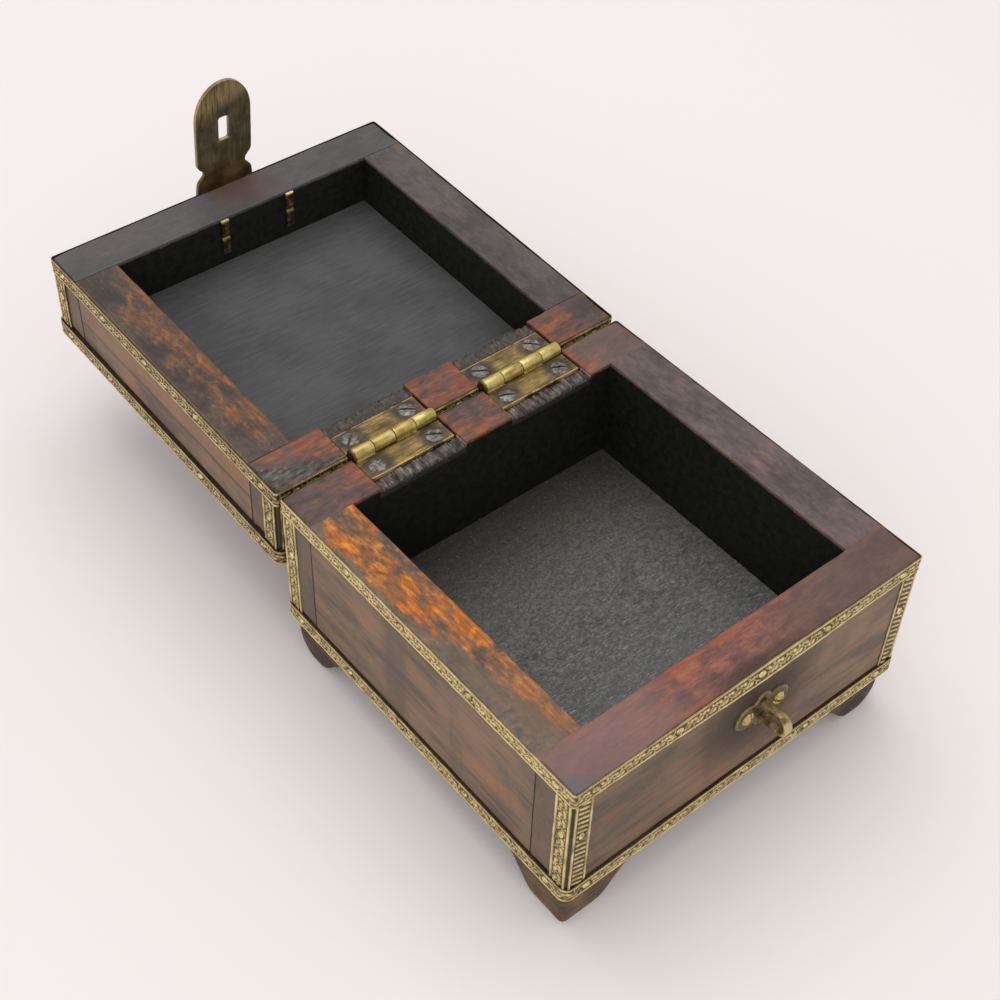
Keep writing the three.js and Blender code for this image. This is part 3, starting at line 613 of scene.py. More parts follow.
def base_front_wear(f):
    """The base's front rim: purple-red stain, with a worn orange line along the inner edge."""
    line = f.times(f.fade(f.y, -61, -58), 0.09)
    red_stretch = f.times(f.fade(f.far_from(f.x, -8), 34, 4), f.fade(f.y, -72, -62), 0.06)
    corners = f.times(f.fade(f.far_from(f.x, 0), 56, 70), -0.08)
    right_part = f.times(f.fade(f.x, 0, 40), -0.03)
    return f.plus(line, red_stretch, corners, right_part, -0.05)


def tongue_wear(all_over):
    """The wear of a back rim that is rubbed by one amount all over."""
    def wear(f):
        """Dark red-brown, rubbed to orange along the edges beside the mortises."""
        terms = [f.times(f.fade(f.mottle(9, detail=2, shift=4.4), 0.42, 0.62), 0.07)]
        for edge, side in zip(mortise_edges, (-1, 1, -1, 1)):
            beside = f.times(f.plus(f.x, -edge), side)
            terms.append(f.times(f.fade(beside, 5.0, 0.0), f.fade(beside, -0.5, 0.0), 0.08))
        corners = f.times(f.fade(f.far_from(f.x, 0), 52, 68), -0.09)
        return f.plus(*terms, corners, all_over)
    return wear


def lid_left_wear(f):
    """The lid's left rim: dark outside and at both ends, with a mottled orange band along its middle."""
    from_edge = f.plus(f.x, half_width)
    band = f.times(f.fade(from_edge, 1, 9), f.fade(f.y, 20, 40), f.fade(f.y, 134, 92), 0.085)
    inner_line = f.times(f.fade(from_edge, 13, 16), f.fade(f.y, 134, 118), 0.04)
    return f.plus(band, inner_line, f.times(f.fade(from_edge, 3, 0.5), -0.1), -0.085)


def little_wear(f):
    """A rim that has kept nearly all its stain."""
    return f.plus(f.times(f.fade(f.mottle(20, detail=2, shift=8.8), 0.45, 0.7), 0.07), -0.09)


inner_x = half_width - wall_side
front_inner = extent("base_front_board", "base")[1][1]
back_inner = extent("base_back_board", "base")[0][1]
lid_front_inner = extent("lid_front_board", "lid")[0][1]
lid_back_inner = extent("lid_back_board", "lid")[1][1]
rosette_low, rosette_high = extent("staple_plate", "base")
rosette_middle = (rosette_low + rosette_high) / 2


# The marks that one board has and the others don't, laid over its stain, from here to the list of boards.
def on_left_face(f):
    """1 on the outer face of a left board."""
    return f.fade(f.x, -half_width + 0.6, -half_width + 0.3)


def base_left_marks(f, color, on_rim):
    """The base's left board: a smoky cloud on its face, and towards the front a tan rim with slate spots
    that follow its outer edge."""
    color = f.lay(color, tone(90, 84, 80), f.fade(f.far_from(f.y, 12), 9, 3), on_left_face(f), 0.6)
    front_part = f.times(f.fade(f.y, -14, -44), on_rim)
    border = f.fade(f.plus(f.x, half_width, f.wander(18, 5, rough=0.6, shift=14)), 9, 5)
    color = f.lay(color, tone(134, 103, 80), front_part, 0.4)
    spots = f.mottle(3.4, rough=0.65, shift=17)
    slate_spots = f.ramp(spots, (0.38, tone(80, 80, 77)), (0.6, tone(130, 104, 88)))
    return f.lay(color, slate_spots, front_part, border, 0.85)


RIM_TIP = {"base": -74.0, "lid": 150.0}


def tip_highlight(f, color, on_rim, body):
    """The front left tip of a rim, worn, with a blue-grey painted highlight on it. A place's distance from
    the tip is that along the two edges, added up and made uneven."""
    sense = -1 if body == "lid" else 1
    near_tip = f.plus(f.x, f.times(f.y, sense), half_width - sense * RIM_TIP[body])
    tip_reach = f.plus(near_tip, f.wander(14, 2.6, rough=0.65, shift=31))
    # A blue-grey painted highlight on the worn tip.
    return f.lay(color, tone(96, 98, 103), f.fade(tip_reach, 13, 4), on_rim, 0.8)


def base_front_marks(f, color, on_rim):
    """The base's front board: soot round the latch and a brown shade left of it; on the rim a grey right
    half, a pinkish-grey painted sheen on the left one and a blue-grey painted highlight at the tip."""
    outside = f.fade(f.y, front_inner - 12, front_inner - 14)
    darkening = f.spot(f.x, f.z, (rosette_middle[0] - 3, rosette_middle[2] + 3), 9, 36)
    color = f.lay(color, tone(52, 42, 34), darkening, outside, 0.9)
    color = f.lay(color, tone(80, 68, 56), f.fade(f.x, -10, -40), outside, 0.28)
    color = f.lay(color, tone(92, 79, 73), f.fade(f.x, -5, 55), on_rim, 0.6)
    # The left half of the rim: a pinkish-grey painted sheen.
    color = f.lay(color, tone(128, 104, 104), f.fade(f.x, -20, -42), on_rim, 0.55)
    return tip_highlight(f, color, on_rim, "base")


def base_back_marks(f, color, on_rim):
    """The base's back rim: torn wood in the mortises, and a paler right tongue."""
    return f.lay(torn_wood(f, color, "base"), tone(122, 104, 98), f.fade(f.x, 34, 62), on_rim, 0.3)


def lid_front_marks(f, color, on_rim):
    """The lid's front rim: a blue-grey painted highlight at its tip, a grey painted sheen all along, and a
    rusty patch beside the hasp.
    """
    # A painted highlight at the tip and a grey painted sheen along the whole rim.
    color = f.lay(tip_highlight(f, color, on_rim, "lid"), tone(84, 86, 88), on_rim, 0.45)
    return f.lay(color, tone(104, 70, 56), f.spot(f.x, f.y, (5, 146), 5, 17), on_rim, 0.5)


def lid_left_marks(f, color, on_rim):
    """The lid's left face: paler towards the rim, with a crack along it that rises a little to one end."""
    color = f.lay(color, tone(150, 116, 84), f.fade(f.z, -19, -15), on_left_face(f), 0.55)
    crack = f.fade(f.far_from(f.plus(f.z, f.times(f.y, 0.02)), -16.6), 0.7, 0.2)
    return f.lay(color, tone(56, 46, 42), crack, 0.6, on_left_face(f))


def lid_back_marks(f, color, on_rim):
    """The lid's back rim: torn wood in the mortises, and grey fibres where its left corner has split
    off."""
    color = torn_wood(f, color, "lid")
    across = f.times(f.plus(f.x, half_width), 1 / CHIP_LONG)
    along = f.times(f.plus(f.y, -CHIP_START), 1 / CHIP_DEEP)
    chip = f.fade(f.plus(across, along), 1.04, 0.96)
    torn = f.blended((f.mottle(0.8, (16, 1, 1), detail=5, shift=3.1), 0.6), (f.mottle(2.4, shift=9), 0.4))
    fibre = f.ramp(torn, (0.4, tone(66, 60, 54)), (0.52, tone(92, 87, 80)), (0.66, tone(132, 127, 118)))
    return f.lay(color, fibre, chip, on_rim)


def no_marks(f, color, on_rim):
    """A board with nothing of its own."""
    return color


# Each board: its name, where its inner face is and which way is inward from it, its tones, wear and marks.
boards = [
    ("base_left_board", ("x", -inner_x, 1), ORANGE_TONES, base_left_wear, base_left_marks),
    ("base_right_board", ("x", inner_x, -1), PLUM_TONES, little_wear, no_marks),
    ("base_front_board", ("y", front_inner, 1), RED_TONES, base_front_wear, base_front_marks),
    ("base_back_board", ("y", back_inner, -1), TONGUE_TONES, tongue_wear(-0.05), base_back_marks),
    ("lid_left_board", ("x", -inner_x, 1), DARK_ORANGE_TONES, lid_left_wear, lid_left_marks),
    ("lid_right_board", ("x", inner_x, -1), SOOT_TONES, little_wear, no_marks),
    ("lid_front_board", ("y", lid_front_inner, -1), SOOT_TONES, little_wear, lid_front_marks),
    ("lid_back_board", ("y", lid_back_inner, 1), TONGUE_TONES, tongue_wear(-0.02), lid_back_marks),
]
for number, (name, inner, tones, wear, marks) in enumerate(boards):
    body = name.split("_")[0]
    f, color, gloss, relief, on_rim = wood_finish(name + "_stain", body, inner, tones, wear, number + 1.0)
    finish = f.done(marks(f, color, on_rim), gloss, bump=relief, depth=0.05, specular=0.25)
    wall_board(name, body, finish, inner[0] == "x", 100 + number)


# The two panels inside: a floor set between the base walls and a panel under the lid's top. Both are
# brushed with black paint. The floor's is thick and grainy with gold specks, with painted glints and a
# bluish painted sheen towards the front and painted shade from the walls towards the hinges; the lid's is a
# smooth slate grey with brush marks, a few scratches and a worm hole painted dark as the shade inside it.
def panel(name, body, finish, height, seed):
    """A board inside the walls, as a box whose upper face swells and pits by a random height."""
    low, high = extent(name, body)
    lines = [spaced(low[k], high[k], 0.9 if k < 2 else 4.0, close=(0.0, 0.3)) for k in range(3)]
    points, faces = box_surface(lines)
    upper = points[:, 2] > high[2] - 1e-6
    bumps = uneven(points, 2.2, seed) * 0.4 + uneven(points, 5.0, seed + 1) * 0.4
    swell = uneven(points, 40, seed + 2) * 0.6
    points[:, 2] += upper * height * (bumps + swell - 1.3)
    make_piece(name + "_painted", points, faces, body, finish, [name], sharp=60)


f = Finish("grainy_black_paint", "base")
grit = f.mottle(0.75, (1, 1.5, 1), detail=6, rough=0.75)
worm = f.mottle(1.6, (2.6, 1, 1), rough=0.6, twist=1.2, shift=2, turn=0.5)
grain = f.blended((grit, 0.6), (worm, 0.4))
floor_color = f.ramp(grain, (0.38, tone(64, 63, 59)), (0.5, tone(92, 91, 87)), (0.62, tone(124, 122, 118)))
# Painted glints, stronger towards the front, and then a bluish painted sheen towards the front.
glints = f.fade(f.mottle(0.3, (9, 1, 1), detail=3, shift=21, turn=0.6), 0.58, 0.68)
lit = f.plus(f.times(f.fade(f.y, 30, -40), 0.6), 0.15)
floor_color = f.lay(floor_color, tone(176, 178, 182), glints, lit)
floor_color = f.lay(floor_color, tone(136, 140, 146), f.fade(f.y, 0, -50), 0.25)
# Painted shade from the walls: the floor darkens towards the back.
darkening = f.fade(f.plus(f.y, f.times(worm, 26)), 18, 74)
floor_color = f.lay(floor_color, tone(40, 40, 35), darkening, 0.75)
specks = f.fade(f.mottle(0.55, detail=1, shift=11), 0.735, 0.77)
floor_color = f.lay(floor_color, tone(196, 168, 116), specks, 0.8)
panel("base_floor_panel", "base", f.done(floor_color, 0.6, bump=grain, depth=0.2, specular=0.25), 0.14, 71)

f = Finish("slate_black_paint", "lid")
brushed = f.mottle(1.2, (9, 1, 1), detail=5, rough=0.6, turn=0.35)
haze = f.mottle(26, detail=3, shift=5)
slate = f.ramp(f.blended((brushed, 0.5), (haze, 0.5)), (0.4, tone(68, 70, 69)), (0.6, tone(84, 86, 85)))
hairs = f.fade(f.mottle(0.3, (38, 1, 1), detail=2, shift=6, turn=-0.4), 0.69, 0.76)
slate = f.lay(slate, tone(130, 132, 132), hairs, 0.22)
rubs = f.fade(f.mottle(0.8, detail=1, shift=15), 0.77, 0.8)
slate = f.lay(slate, tone(140, 116, 98), rubs, 0.6)
# A worm hole, drawn flat, its inside painted dark as shade.
worm_hole = f.spot(f.x, f.y, (-11.3, 8.1), 0.5, 0.9)
slate = f.lay(slate, tone(20, 18, 16), worm_hole)
panel("lid_inner_panel", "lid", f.done(slate, 0.55, bump=brushed, depth=0.04, specular=0.25), 0.05, 81)


# The plinth under the base and the board on top of the lid: dark stained boards that stand a little proud
# of the walls, with their corners rounded. The brass bands are bent round their edges.
lid_top_low, lid_top_high = extent("lid_top_board", "lid")
middle_y = {"base": 0, "lid": (lid_top_low[1] + lid_top_high[1]) / 2}


def refinish(node, finish):
    """Gives a CAD node that is shown as it is a finish and a slot."""
    piece = frame["nodes"][node]
    piece.data.materials.clear()
    piece.data.materials.append(finish)


for name, body, seed in (("plinth_board", "base", 1.5), ("lid_top_board", "lid", 2.5)):
    f = Finish(name + "_stain", body)
    streak = f.mottle(1.2, (14, 1, 1), detail=6, rough=0.62, shift=seed)
    flame = f.mottle(9, (4, 1, 1), twist=0.4, shift=seed + 2)
    color = f.ramp(
        f.blended((streak, 0.55), (flame, 0.45)),
        (0.4, tone(54, 38, 32)), (0.5, tone(82, 56, 44)), (0.6, tone(116, 78, 56)),
    )
    away = f.math("MAXIMUM", f.far_from(f.x, 0), f.far_from(f.y, middle_y[body]))
    color = f.lay(color, tone(38, 30, 27), f.fade(f.plus(away, f.times(flame, 16)), 70, 84), 0.75)
    hairs = f.fade(f.mottle(0.3, (52, 1, 1), detail=2, shift=seed + 8, turn=0.9), 0.69, 0.77)
    color = f.lay(color, tone(150, 120, 100), hairs, 0.4)
    gloss = f.plus(f.times(flame, 0.3), 0.34)
    refinish(name, f.done(color, gloss, bump=streak, depth=0.06, specular=0.3))


# The feet: four bracket feet of brown-stained wood, each of two wings mitred at the corner and sawn to a
# curve underneath, which leaves a flat sole and sweeps up to the plinth. Three toes are rasped away towards
# the corner, and the front left one is nearly square. Those three feet, farther from the front left, get a
# darker copy of the same stain as painted shade.
FOOT_THICK = 13.0
FOOT_EDGE = 1.2
SOLE_FLAT = 14.0
RASPED_ROUND = 3.5
SQUARE_ROUND = 2.2
# The curves under a wing, in shares of its run past the flat sole and of its height, and the toe's in
# millimetres.
LOW_SWEEP = ((0, 0), (0.23, 0), (0.37, 0.32), (0.66, 0.57))
HIGH_SWEEP = ((0.66, 0.57), (0.89, 0.8), (1, 1))
TOE_CURVE = ((6.5, 0), (2.275, 2.2), (1.45, 10.0))
EDGE_LINES = (0, 0.15, 0.4, 0.8, 1.2, 1.7, 2.2, 2.6, 3.0, 3.5, 4.0, 4.5, 5.0, 5.6, 6.3, 7.2, 8.5, 10.5)


def slab(across, along, keep, low, high, wrap=False):
    """A solid over the cells of a grid of places that are kept. Its top and bottom are the heights high
    and low at the grid's points, and every kept cell that has no kept neighbour gets a wall on that
    side."""
    rows, columns = across.shape
    size = rows * columns
    flat = np.stack([across, along], axis=-1).reshape(-1, 2)
    points = np.concatenate([np.column_stack([flat, high.ravel()]), np.column_stack([flat, low.ravel()])])
    cells = grid_faces(rows, columns)
    top = cells[keep.ravel()]
    faces = [top, top[:, ::-1] + size]
    padded = np.pad(keep, 1)
    if wrap:
        padded[:, 0], padded[:, -1] = padded[:, -2], padded[:, 1]
    sides = (padded[1:-1, :-2], padded[2:, 1:-1], padded[1:-1, 2:], padded[:-2, 1:-1])
    for side, neighbour in enumerate(sides):
        edge = cells[(keep & ~neighbour).ravel()]
        a, b = edge[:, side], edge[:, (side + 1) % 4]
        faces.append(np.stack([b, a, a + size, b + size], axis=1))
    return points, np.concatenate(faces)


def curve(corners, count=16):
    """A Bezier curve of any order: the corners are joined by straight lines, and each line's points at
    the same share are joined again until one point is left."""
    share = np.linspace(0, 1, count)[:, None, None]
    level = np.repeat(np.array(corners, float)[None], count, 0)
    while level.shape[1] > 1:
        level = level[:, :-1] * (1 - share) + level[:, 1:] * share
    return level[:, 0]


def foot_underside(from_x, from_y, length, height, corner, rasped):
    """The sole's height by how far a place lies in from the foot's two outer faces. Each wing is flat and
    then follows two joined curves; the toe follows one more along the diagonal; the outer edge is a
    quarter circle."""
    sweep = np.concatenate([[[0, 0]], curve(LOW_SWEEP), curve(HIGH_SWEEP)[1:]])
    sweep *= [length - SOLE_FLAT, height]
    wing_x = np.interp(from_x - SOLE_FLAT, sweep[:, 0], sweep[:, 1])
    wing_y = np.interp(from_y - SOLE_FLAT, sweep[:, 0], sweep[:, 1])
    sole = np.where(from_y <= FOOT_THICK, wing_x, height)
    sole = np.minimum(sole, np.where(from_x <= FOOT_THICK, wing_y, height))
    toe = curve(TOE_CURVE)[::-1]
    lift = rasped * np.interp((from_x + from_y) / math.sqrt(2), toe[:, 0], toe[:, 1])
    in_corner = (from_x < corner) & (from_y < corner)
    from_edge = np.minimum(from_x, from_y)
    round_edge = corner - np.hypot(corner - from_x, corner - from_y)
    from_edge = np.clip(np.where(in_corner, round_edge, from_edge), 0, FOOT_EDGE)
    bevel = FOOT_EDGE * (1 - np.sqrt(1 - (1 - from_edge / FOOT_EDGE) ** 2))
    return np.minimum(np.maximum(sole, lift) + bevel, height - 0.02)


def foot_finish(name, dark, mid, light):
    """Brown stain in streaks along the grain, in three tones, rubbed paler near the sole."""
    f = Finish(name, "base")
    streak = f.mottle(1.1, (9, 9, 1), detail=5, shift=3.3)
    cloud = f.mottle(8, detail=3, shift=6.1)
    color = f.ramp(f.blended((streak, 0.5), (cloud, 0.5)), (0.4, dark), (0.5, mid), (0.6, light))
    rub = f.times(f.fade(f.z, 5, 0.5), f.fade(streak, 0.4, 0.6), 0.5)
    color = f.lay(color, tone(128, 98, 74), rub)
    return f.done(color, 0.55, bump=streak, depth=0.05, specular=0.2)


near_foot = foot_finish("foot_stain", tone(74, 60, 46), tone(94, 76, 58), tone(118, 92, 66))
# A darker copy of the stain for the three farther feet: painted shade.
far_foot_painted_shade = foot_finish("foot_stain_dark", tone(52, 42, 34), tone(72, 58, 46), tone(94, 74, 56))
for end in ("front", "back"):
    for side in ("left", "right"):
        name = f"foot_{end}_{side}"
        low, high = extent(name, "base")
        length, height = high[0] - low[0], high[2] - low[2]
        rasped = name != "foot_front_left"
        rounded = RASPED_ROUND if rasped else SQUARE_ROUND
        wing = SOLE_FLAT + (length - SOLE_FLAT) * np.linspace(0, 1, 24)
        run = np.concatenate([EDGE_LINES, [FOOT_THICK], wing])
        from_x, from_y = np.meshgrid(run, run, indexing="ij")
        middle = (run[:-1] + run[1:]) / 2
        keep = (middle[:, None] < FOOT_THICK) | (middle[None, :] < FOOT_THICK)
        in_x, in_y = np.clip(rounded - from_x, 0, None), np.clip(rounded - from_y, 0, None)
        shrink = np.maximum(in_x, in_y) / np.maximum(np.hypot(in_x, in_y), 1e-9)
        in_corner = (in_x > 0) & (in_y > 0)
        from_x = np.where(in_corner, rounded - in_x * shrink, from_x)
        from_y = np.where(in_corner, rounded - in_y * shrink, from_y)
        sole = foot_underside(from_x, from_y, length, height, rounded, rasped)
        points, faces = slab(from_x, from_y, keep, sole, np.full_like(sole, height))
        sign_x, sign_y = (1 if side == "left" else -1), (1 if end == "front" else -1)
        corner = [low[0] if side == "left" else high[0], low[1] if end == "front" else high[1], low[2]]
        points = points * [sign_x, sign_y, 1] + corner
        if sign_x * sign_y < 0:
            faces = faces[:, ::-1]
        stain = far_foot_painted_shade if rasped else near_foot
        make_piece(f"bracket_{name}", points, faces, "base", stain, [name], sharp=40)


# The brass binding: thin brass strip stamped between rollers, milled along one edge, with a scroll of
# leaves on a sunk ground that holds dirt. Bands are nailed round the rims, the plinth and the lid's top,
# and two upright strips close each corner. The base's front band has slid down at its middle.
GROUND = 0.22
STAMPED = 0.36
MILL_PITCH = 0.9
LADDER_PITCH = 2.4
BAND_SCROLL = 5.4
STRIP_SCROLL = 4.9
BAND_THICK = 0.6
STAMP_STEP = 0.27
NAIL_LONG = 1.9
NAIL_SHORT = 1.3
# How far the front of the base's rim band has slid down, how much more at its upper edge, and how far its
# nails lean in with it.
SLID_DOWN = 2.0
SLID_MORE = 0.14
NAILS_IN = 0.68


def blob(u, v, centre_u, centre_v, long, short, angle):
    """A raised oval: high in the middle and falling to nothing at its edge, like a shallow dome."""
    c, s = math.cos(angle), math.sin(angle)
    a = ((u - centre_u) * c + (v - centre_v) * s) / long
    b = (-(u - centre_u) * s + (v - centre_v) * c) / short
    return np.clip(1 - a * a - b * b, 0, 1) ** 0.4


def line_ridge(v, centre, half):
    """A raised line with a round top along the strip."""
    return np.clip(1 - ((v - centre) / half) ** 2, 0, 1) ** 0.5


def scroll(u, v, low, high, period):
    """A wavy stem between two heights, with a leaf in every bend, a bud beside it and a pip between
    leaves."""
    middle, half = (low + high) / 2, (high - low) / 2
    wrap = np.mod(u, period)
    wave = middle + 0.45 * half * np.sin(2 * np.pi * u / period)
    relief = np.clip(1 - ((v - wave) / 0.34) ** 2, 0, 1) ** 0.5 * 0.85
    leaves = (
        (0.25, -0.38, 1.1, 0.6, 0.65), (0.75, 0.38, 1.1, 0.6, -0.65),
        (0.47, 0.55, 0.75, 0.42, -0.5), (0.97, -0.55, 0.75, 0.42, 0.5),
        (0.12, 0.74, 0.44, 0.4, 0.0), (0.62, -0.74, 0.44, 0.4, 0.0),
    )
    for cycle in (-1, 0, 1):
        for along, up, long, short, angle in leaves:
            place = (cycle + along) * period, middle + up * half
            relief = np.maximum(relief, blob(wrap, v, *place, long, short * half / 1.7, angle))
    return relief


def ladder(u, v, low, high):
    """Slanting bars between two heights, like the rungs of a ladder."""
    bars = np.clip(0.25 + 0.85 * np.sin(2 * np.pi * (u + 0.4 * v) / LADDER_PITCH), 0, 1) ** 0.9
    return bars * step_between(v, low, low + 0.25) * step_between(v, high, high - 0.25)


def ribbon(path, outward, across, lines, height, closed):
    """A strip carried along a path. Its section goes up the front, where height stands out from the wall,
    and back down the wall side. An open strip gets its ends closed by the same section, folded flat."""
    count, width = len(path), len(lines)
    front = path[:, None] + across * lines[None, :, None] + outward[:, None] * height[:, :, None]
    against_wall = path[:, None] + across * np.array([lines[-1], lines[0]])[None, :, None]
    section = np.concatenate([front, against_wall], axis=1)
    around = width + 2
    faces = grid_faces(count, around, rows_join=closed, columns_join=True)
    if not closed:
        fold = np.arange(width // 2 + 1)
        start = np.stack([fold, fold + 1, around - 2 - fold, around - 1 - fold], 1)
        start = start[start[:, 1] < start[:, 2] + 1]
        faces = np.concatenate([faces, start, start[:, ::-1] + (count - 1) * around])
    heading = np.cross(path[1] - path[0], across)
    return section, faces if heading @ outward[0] > 0 else faces[:, ::-1]


def ring_path(low, high, corner, step, back_side, extra_back):
    """Points, outward directions and running length round a rectangle with round corners, and the length
    at the middle of each side. It starts at the front's left and goes to the right, the back, the left
    and round."""
    points, outward, middles = [], [], []
    middle = (low + high) / 2
    half = (high - low) / 2
    length = 0.0
    for side, angle in enumerate((-90, 0, 90, 180)):
        turn = math.radians(angle)
        out = np.array([math.cos(turn), math.sin(turn)])
        along = np.array([-out[1], out[0]])
        reach = abs(half @ out)
        run = abs(half @ along) - corner
        places_on_side = np.linspace(-run, run, int(2 * run / step) + 1)
        if side == back_side and len(extra_back):
            places_on_side = np.unique(np.concatenate([places_on_side, along[0] * np.array(extra_back)]))
        straight = middle + out * reach + along * places_on_side[:, None]
        points.append(straight)
        outward.append(np.repeat(out[None], len(straight), 0))
        middles.append(length + run)
        bend = turn + np.linspace(0, math.pi / 2, 9)[1:-1]
        rays = np.column_stack([np.cos(bend), np.sin(bend)])
        points.append(middle + out * (reach - corner) + along * run + rays * corner)
        outward.append(rays)
        length += 2 * run + corner * math.pi / 2
    points, outward = np.concatenate(points), np.concatenate(outward)
    hops = np.linalg.norm(np.roll(points, -1, axis=0) - points, axis=1)
    distance = np.concatenate([[0], np.cumsum(hops)[:-1]])
    return points, outward, distance, hops.sum(), middles


NAIL_RING = 0.12
SUNK = 0.2


def brass_finish(name, body, dirt):
    """Stamped brass: the raised work is rubbed bright, the sunk ground is dull and dirty, and the dirt is
    blackest round the nails. It follows the strip's own relief: least in a ring round a nail, low on the
    sunk ground and 1 at the top."""
    f = Finish(name, body)
    relief = f.add("Attribute", attribute_name="relief").outputs["Fac"]
    tarnish = f.mottle(5, detail=5, rough=0.65)
    fine = f.mottle(0.6, detail=3, shift=3)
    level = f.plus(relief, f.times(f.plus(tarnish, -0.5), 0.75), f.times(f.plus(fine, -0.5), 0.4), -dirt)
    on_left = f.fade(f.x, -half_width + 0.4, -half_width - 0.4)
    left_side = f.times(on_left, f.fade(f.z, base_rim - 8, base_rim - 6), 0.1)
    from_middle = f.far_from(f.x, 0)
    by_corner = f.fade(from_middle, half_width - 10, half_width - 9)
    under_band = f.fade(f.z, base_rim - 5, base_rim - 7)
    on_front = f.fade(from_middle, half_width + 0.1, half_width - 0.2)
    level = f.plus(level, left_side, f.times(by_corner, under_band, on_front, -0.1))
    dull = ((0.0, tone(50, 41, 26)), (0.18, tone(82, 68, 42)), (0.36, tone(140, 120, 78)))
    color = f.ramp(level, *dull, (0.6, tone(192, 170, 116)), (0.9, tone(232, 212, 150)))
    bright = f.fade(level, 0.15, 0.6)
    gloss = f.plus(f.times(bright, -0.12), 0.5)
    return f.done(color, gloss, f.plus(f.times(bright, 0.35), 0.2), bump=fine, depth=0.03, specular=0.4)


stamped_brass = {
    "base": brass_finish("stamped_brass_base", "base", 0.0),
    "lid": brass_finish("stamped_brass_lid", "lid", 0.1),
}
nails = {"base": [], "lid": []}
# Where a band's nails are, from the middle of its front, right, back and left side.
NAIL_PLACES = (
    (-66.5, -33.0, 2.5, 31.0, 66.0), (-66.0, -35.5, -4.0, 31.5, 66.5),
    (-67.0, 0.5, 67.0), (-66.1, -37.0, -8.3, 25.5, 65.8),
)


def strip_face(relief, u, v, width, spots, seed):
    """The relief values and heights of a strip's face: the stamping is uneven, a clear ring is left round
    every nail, and the strip thins at both edges."""
    flat = np.column_stack([u.ravel(), v.ravel() * 2, 0 * u.ravel()])
    relief = relief * np.clip(0.8 + 0.2 * uneven(flat, 7, seed).reshape(u.shape), 0.4, 1)
    values = SUNK + (1 - SUNK) * relief
    for nail_u, nail_v in spots:
        oval = ((u - nail_u) / (NAIL_LONG + 0.35)) ** 2 + ((v - nail_v) / (NAIL_SHORT + 0.3)) ** 2
        clear = step_between(oval, 0.85, 1.15)
        relief, values = relief * clear, values * clear + NAIL_RING * (1 - clear)
    edge_drop = np.minimum(step_between(v, 0, 0.25), step_between(v, width, width - 0.25))
    return values, (GROUND + STAMPED * relief) * (0.55 + 0.45 * edge_drop)


def across_lines(width, count):
    """Even lines across a strip, and one more close to each edge."""
    return np.unique(np.concatenate([np.linspace(0, width, count), [0.04, width - 0.04]]))


def make_strip(name, body, section, faces, values):
    """Makes a strip's piece. Its wall side has the sunk ground's value."""
    values = np.concatenate([values, np.full((len(values), 2), SUNK)], axis=1).ravel()
    points = section.reshape(-1, 3)
    brass = stamped_brass[body]
    make_piece(name + "_stamped", points, faces, body, brass, [name], values, sharp=50)


def band(name, body, corner, notched, sagging, seed):
    """A band round the box: the strip carried round the rectangle, cut down where the hinges pass. One
    that sags is moved down and tipped in along the front as the board behind it is worn."""
    low, high = extent(name, body)
    width = high[2] - low[2]
    wall_low, wall_high = low[:2] + BAND_THICK, high[:2] - BAND_THICK
    extra = np.array([e + s for e in mortise_edges for s in (-0.04, 0.04)]) if notched else ()
    back_side, back_sense = (2, 1) if body == "base" else (0, -1)
    ring = ring_path(wall_low, wall_high, corner, STAMP_STEP, back_side, extra)
    flat, rays, distance, total, middles = ring
    lines = across_lines(width, 27)
    u, v = np.meshgrid(distance, lines, indexing="ij")
    teeth = 0.5 + 0.4 * np.abs(np.sin(np.pi * u / MILL_PITCH)) ** 0.8
    edges = np.maximum(line_ridge(v, 0.5, 0.5), line_ridge(v, width - 0.55, 0.55) * teeth)
    relief = np.maximum(edges, scroll(u, v, 1.05, width - 1.25, total / round(total / BAND_SCROLL)))
    spots = [(start + nail, width / 2) for start, places in zip(middles, NAIL_PLACES) for nail in places]
    values, height = strip_face(relief, u, v, width, spots, seed)
    for nail_u, nail_v in spots:
        spot = [np.interp(nail_u, distance, flat[:, k]) for k in range(2)]
        ray = np.array([np.interp(nail_u, distance, rays[:, k]) for k in range(2)])
        slip = sag(spot[0]) * sagging * (ray[1] < -0.9)
        slid = (SLID_DOWN + SLID_MORE / 2) * slip
        centre = np.array([spot[0], spot[1] + NAILS_IN * slip, low[2] + nail_v - slid])
        nails[body].append((centre, np.array([*ray, 0.2 * slip]), np.array([-ray[1], ray[0], 0.0])))
    if notched:
        cut = np.zeros(len(flat), bool)
        for left, right in (mortise_edges[:2], mortise_edges[2:]):
            cut |= (flat[:, 0] > left) & (flat[:, 0] < right) & (rays[:, 1] * back_sense > 0.9)
        v = np.where(cut[:, None], np.minimum(v, width - MORTISE_DEPTH - 0.35 + 0.02 * v), v)
    path = np.column_stack([flat, np.full(len(flat), low[2])])
    outward = np.column_stack([rays, np.zeros(len(rays))])
    section, faces = ribbon(path, outward, np.array([0, 0, 1.0]), lines, height, True)
    up = np.concatenate([v, v[:, -1:], v[:, :1]], axis=1)
    slip = sagging * sag(flat[:, 0]) * (rays[:, 1] < -0.9)
    section[..., 1] += LEAN_IN * slip[:, None] * up / width
    section[..., 2] = low[2] + up - (SLID_DOWN + SLID_MORE * up / width) * slip[:, None]
    make_strip(name, body, section, faces, values)


band("plinth_band", "base", 3.0, False, 0, 11)
band("base_rim_band", "base", 0.8, True, 1, 12)
band("lid_rim_band", "lid", 1.0, True, 0, 13)
band("lid_top_band", "lid", 3.0, False, 0, 14)


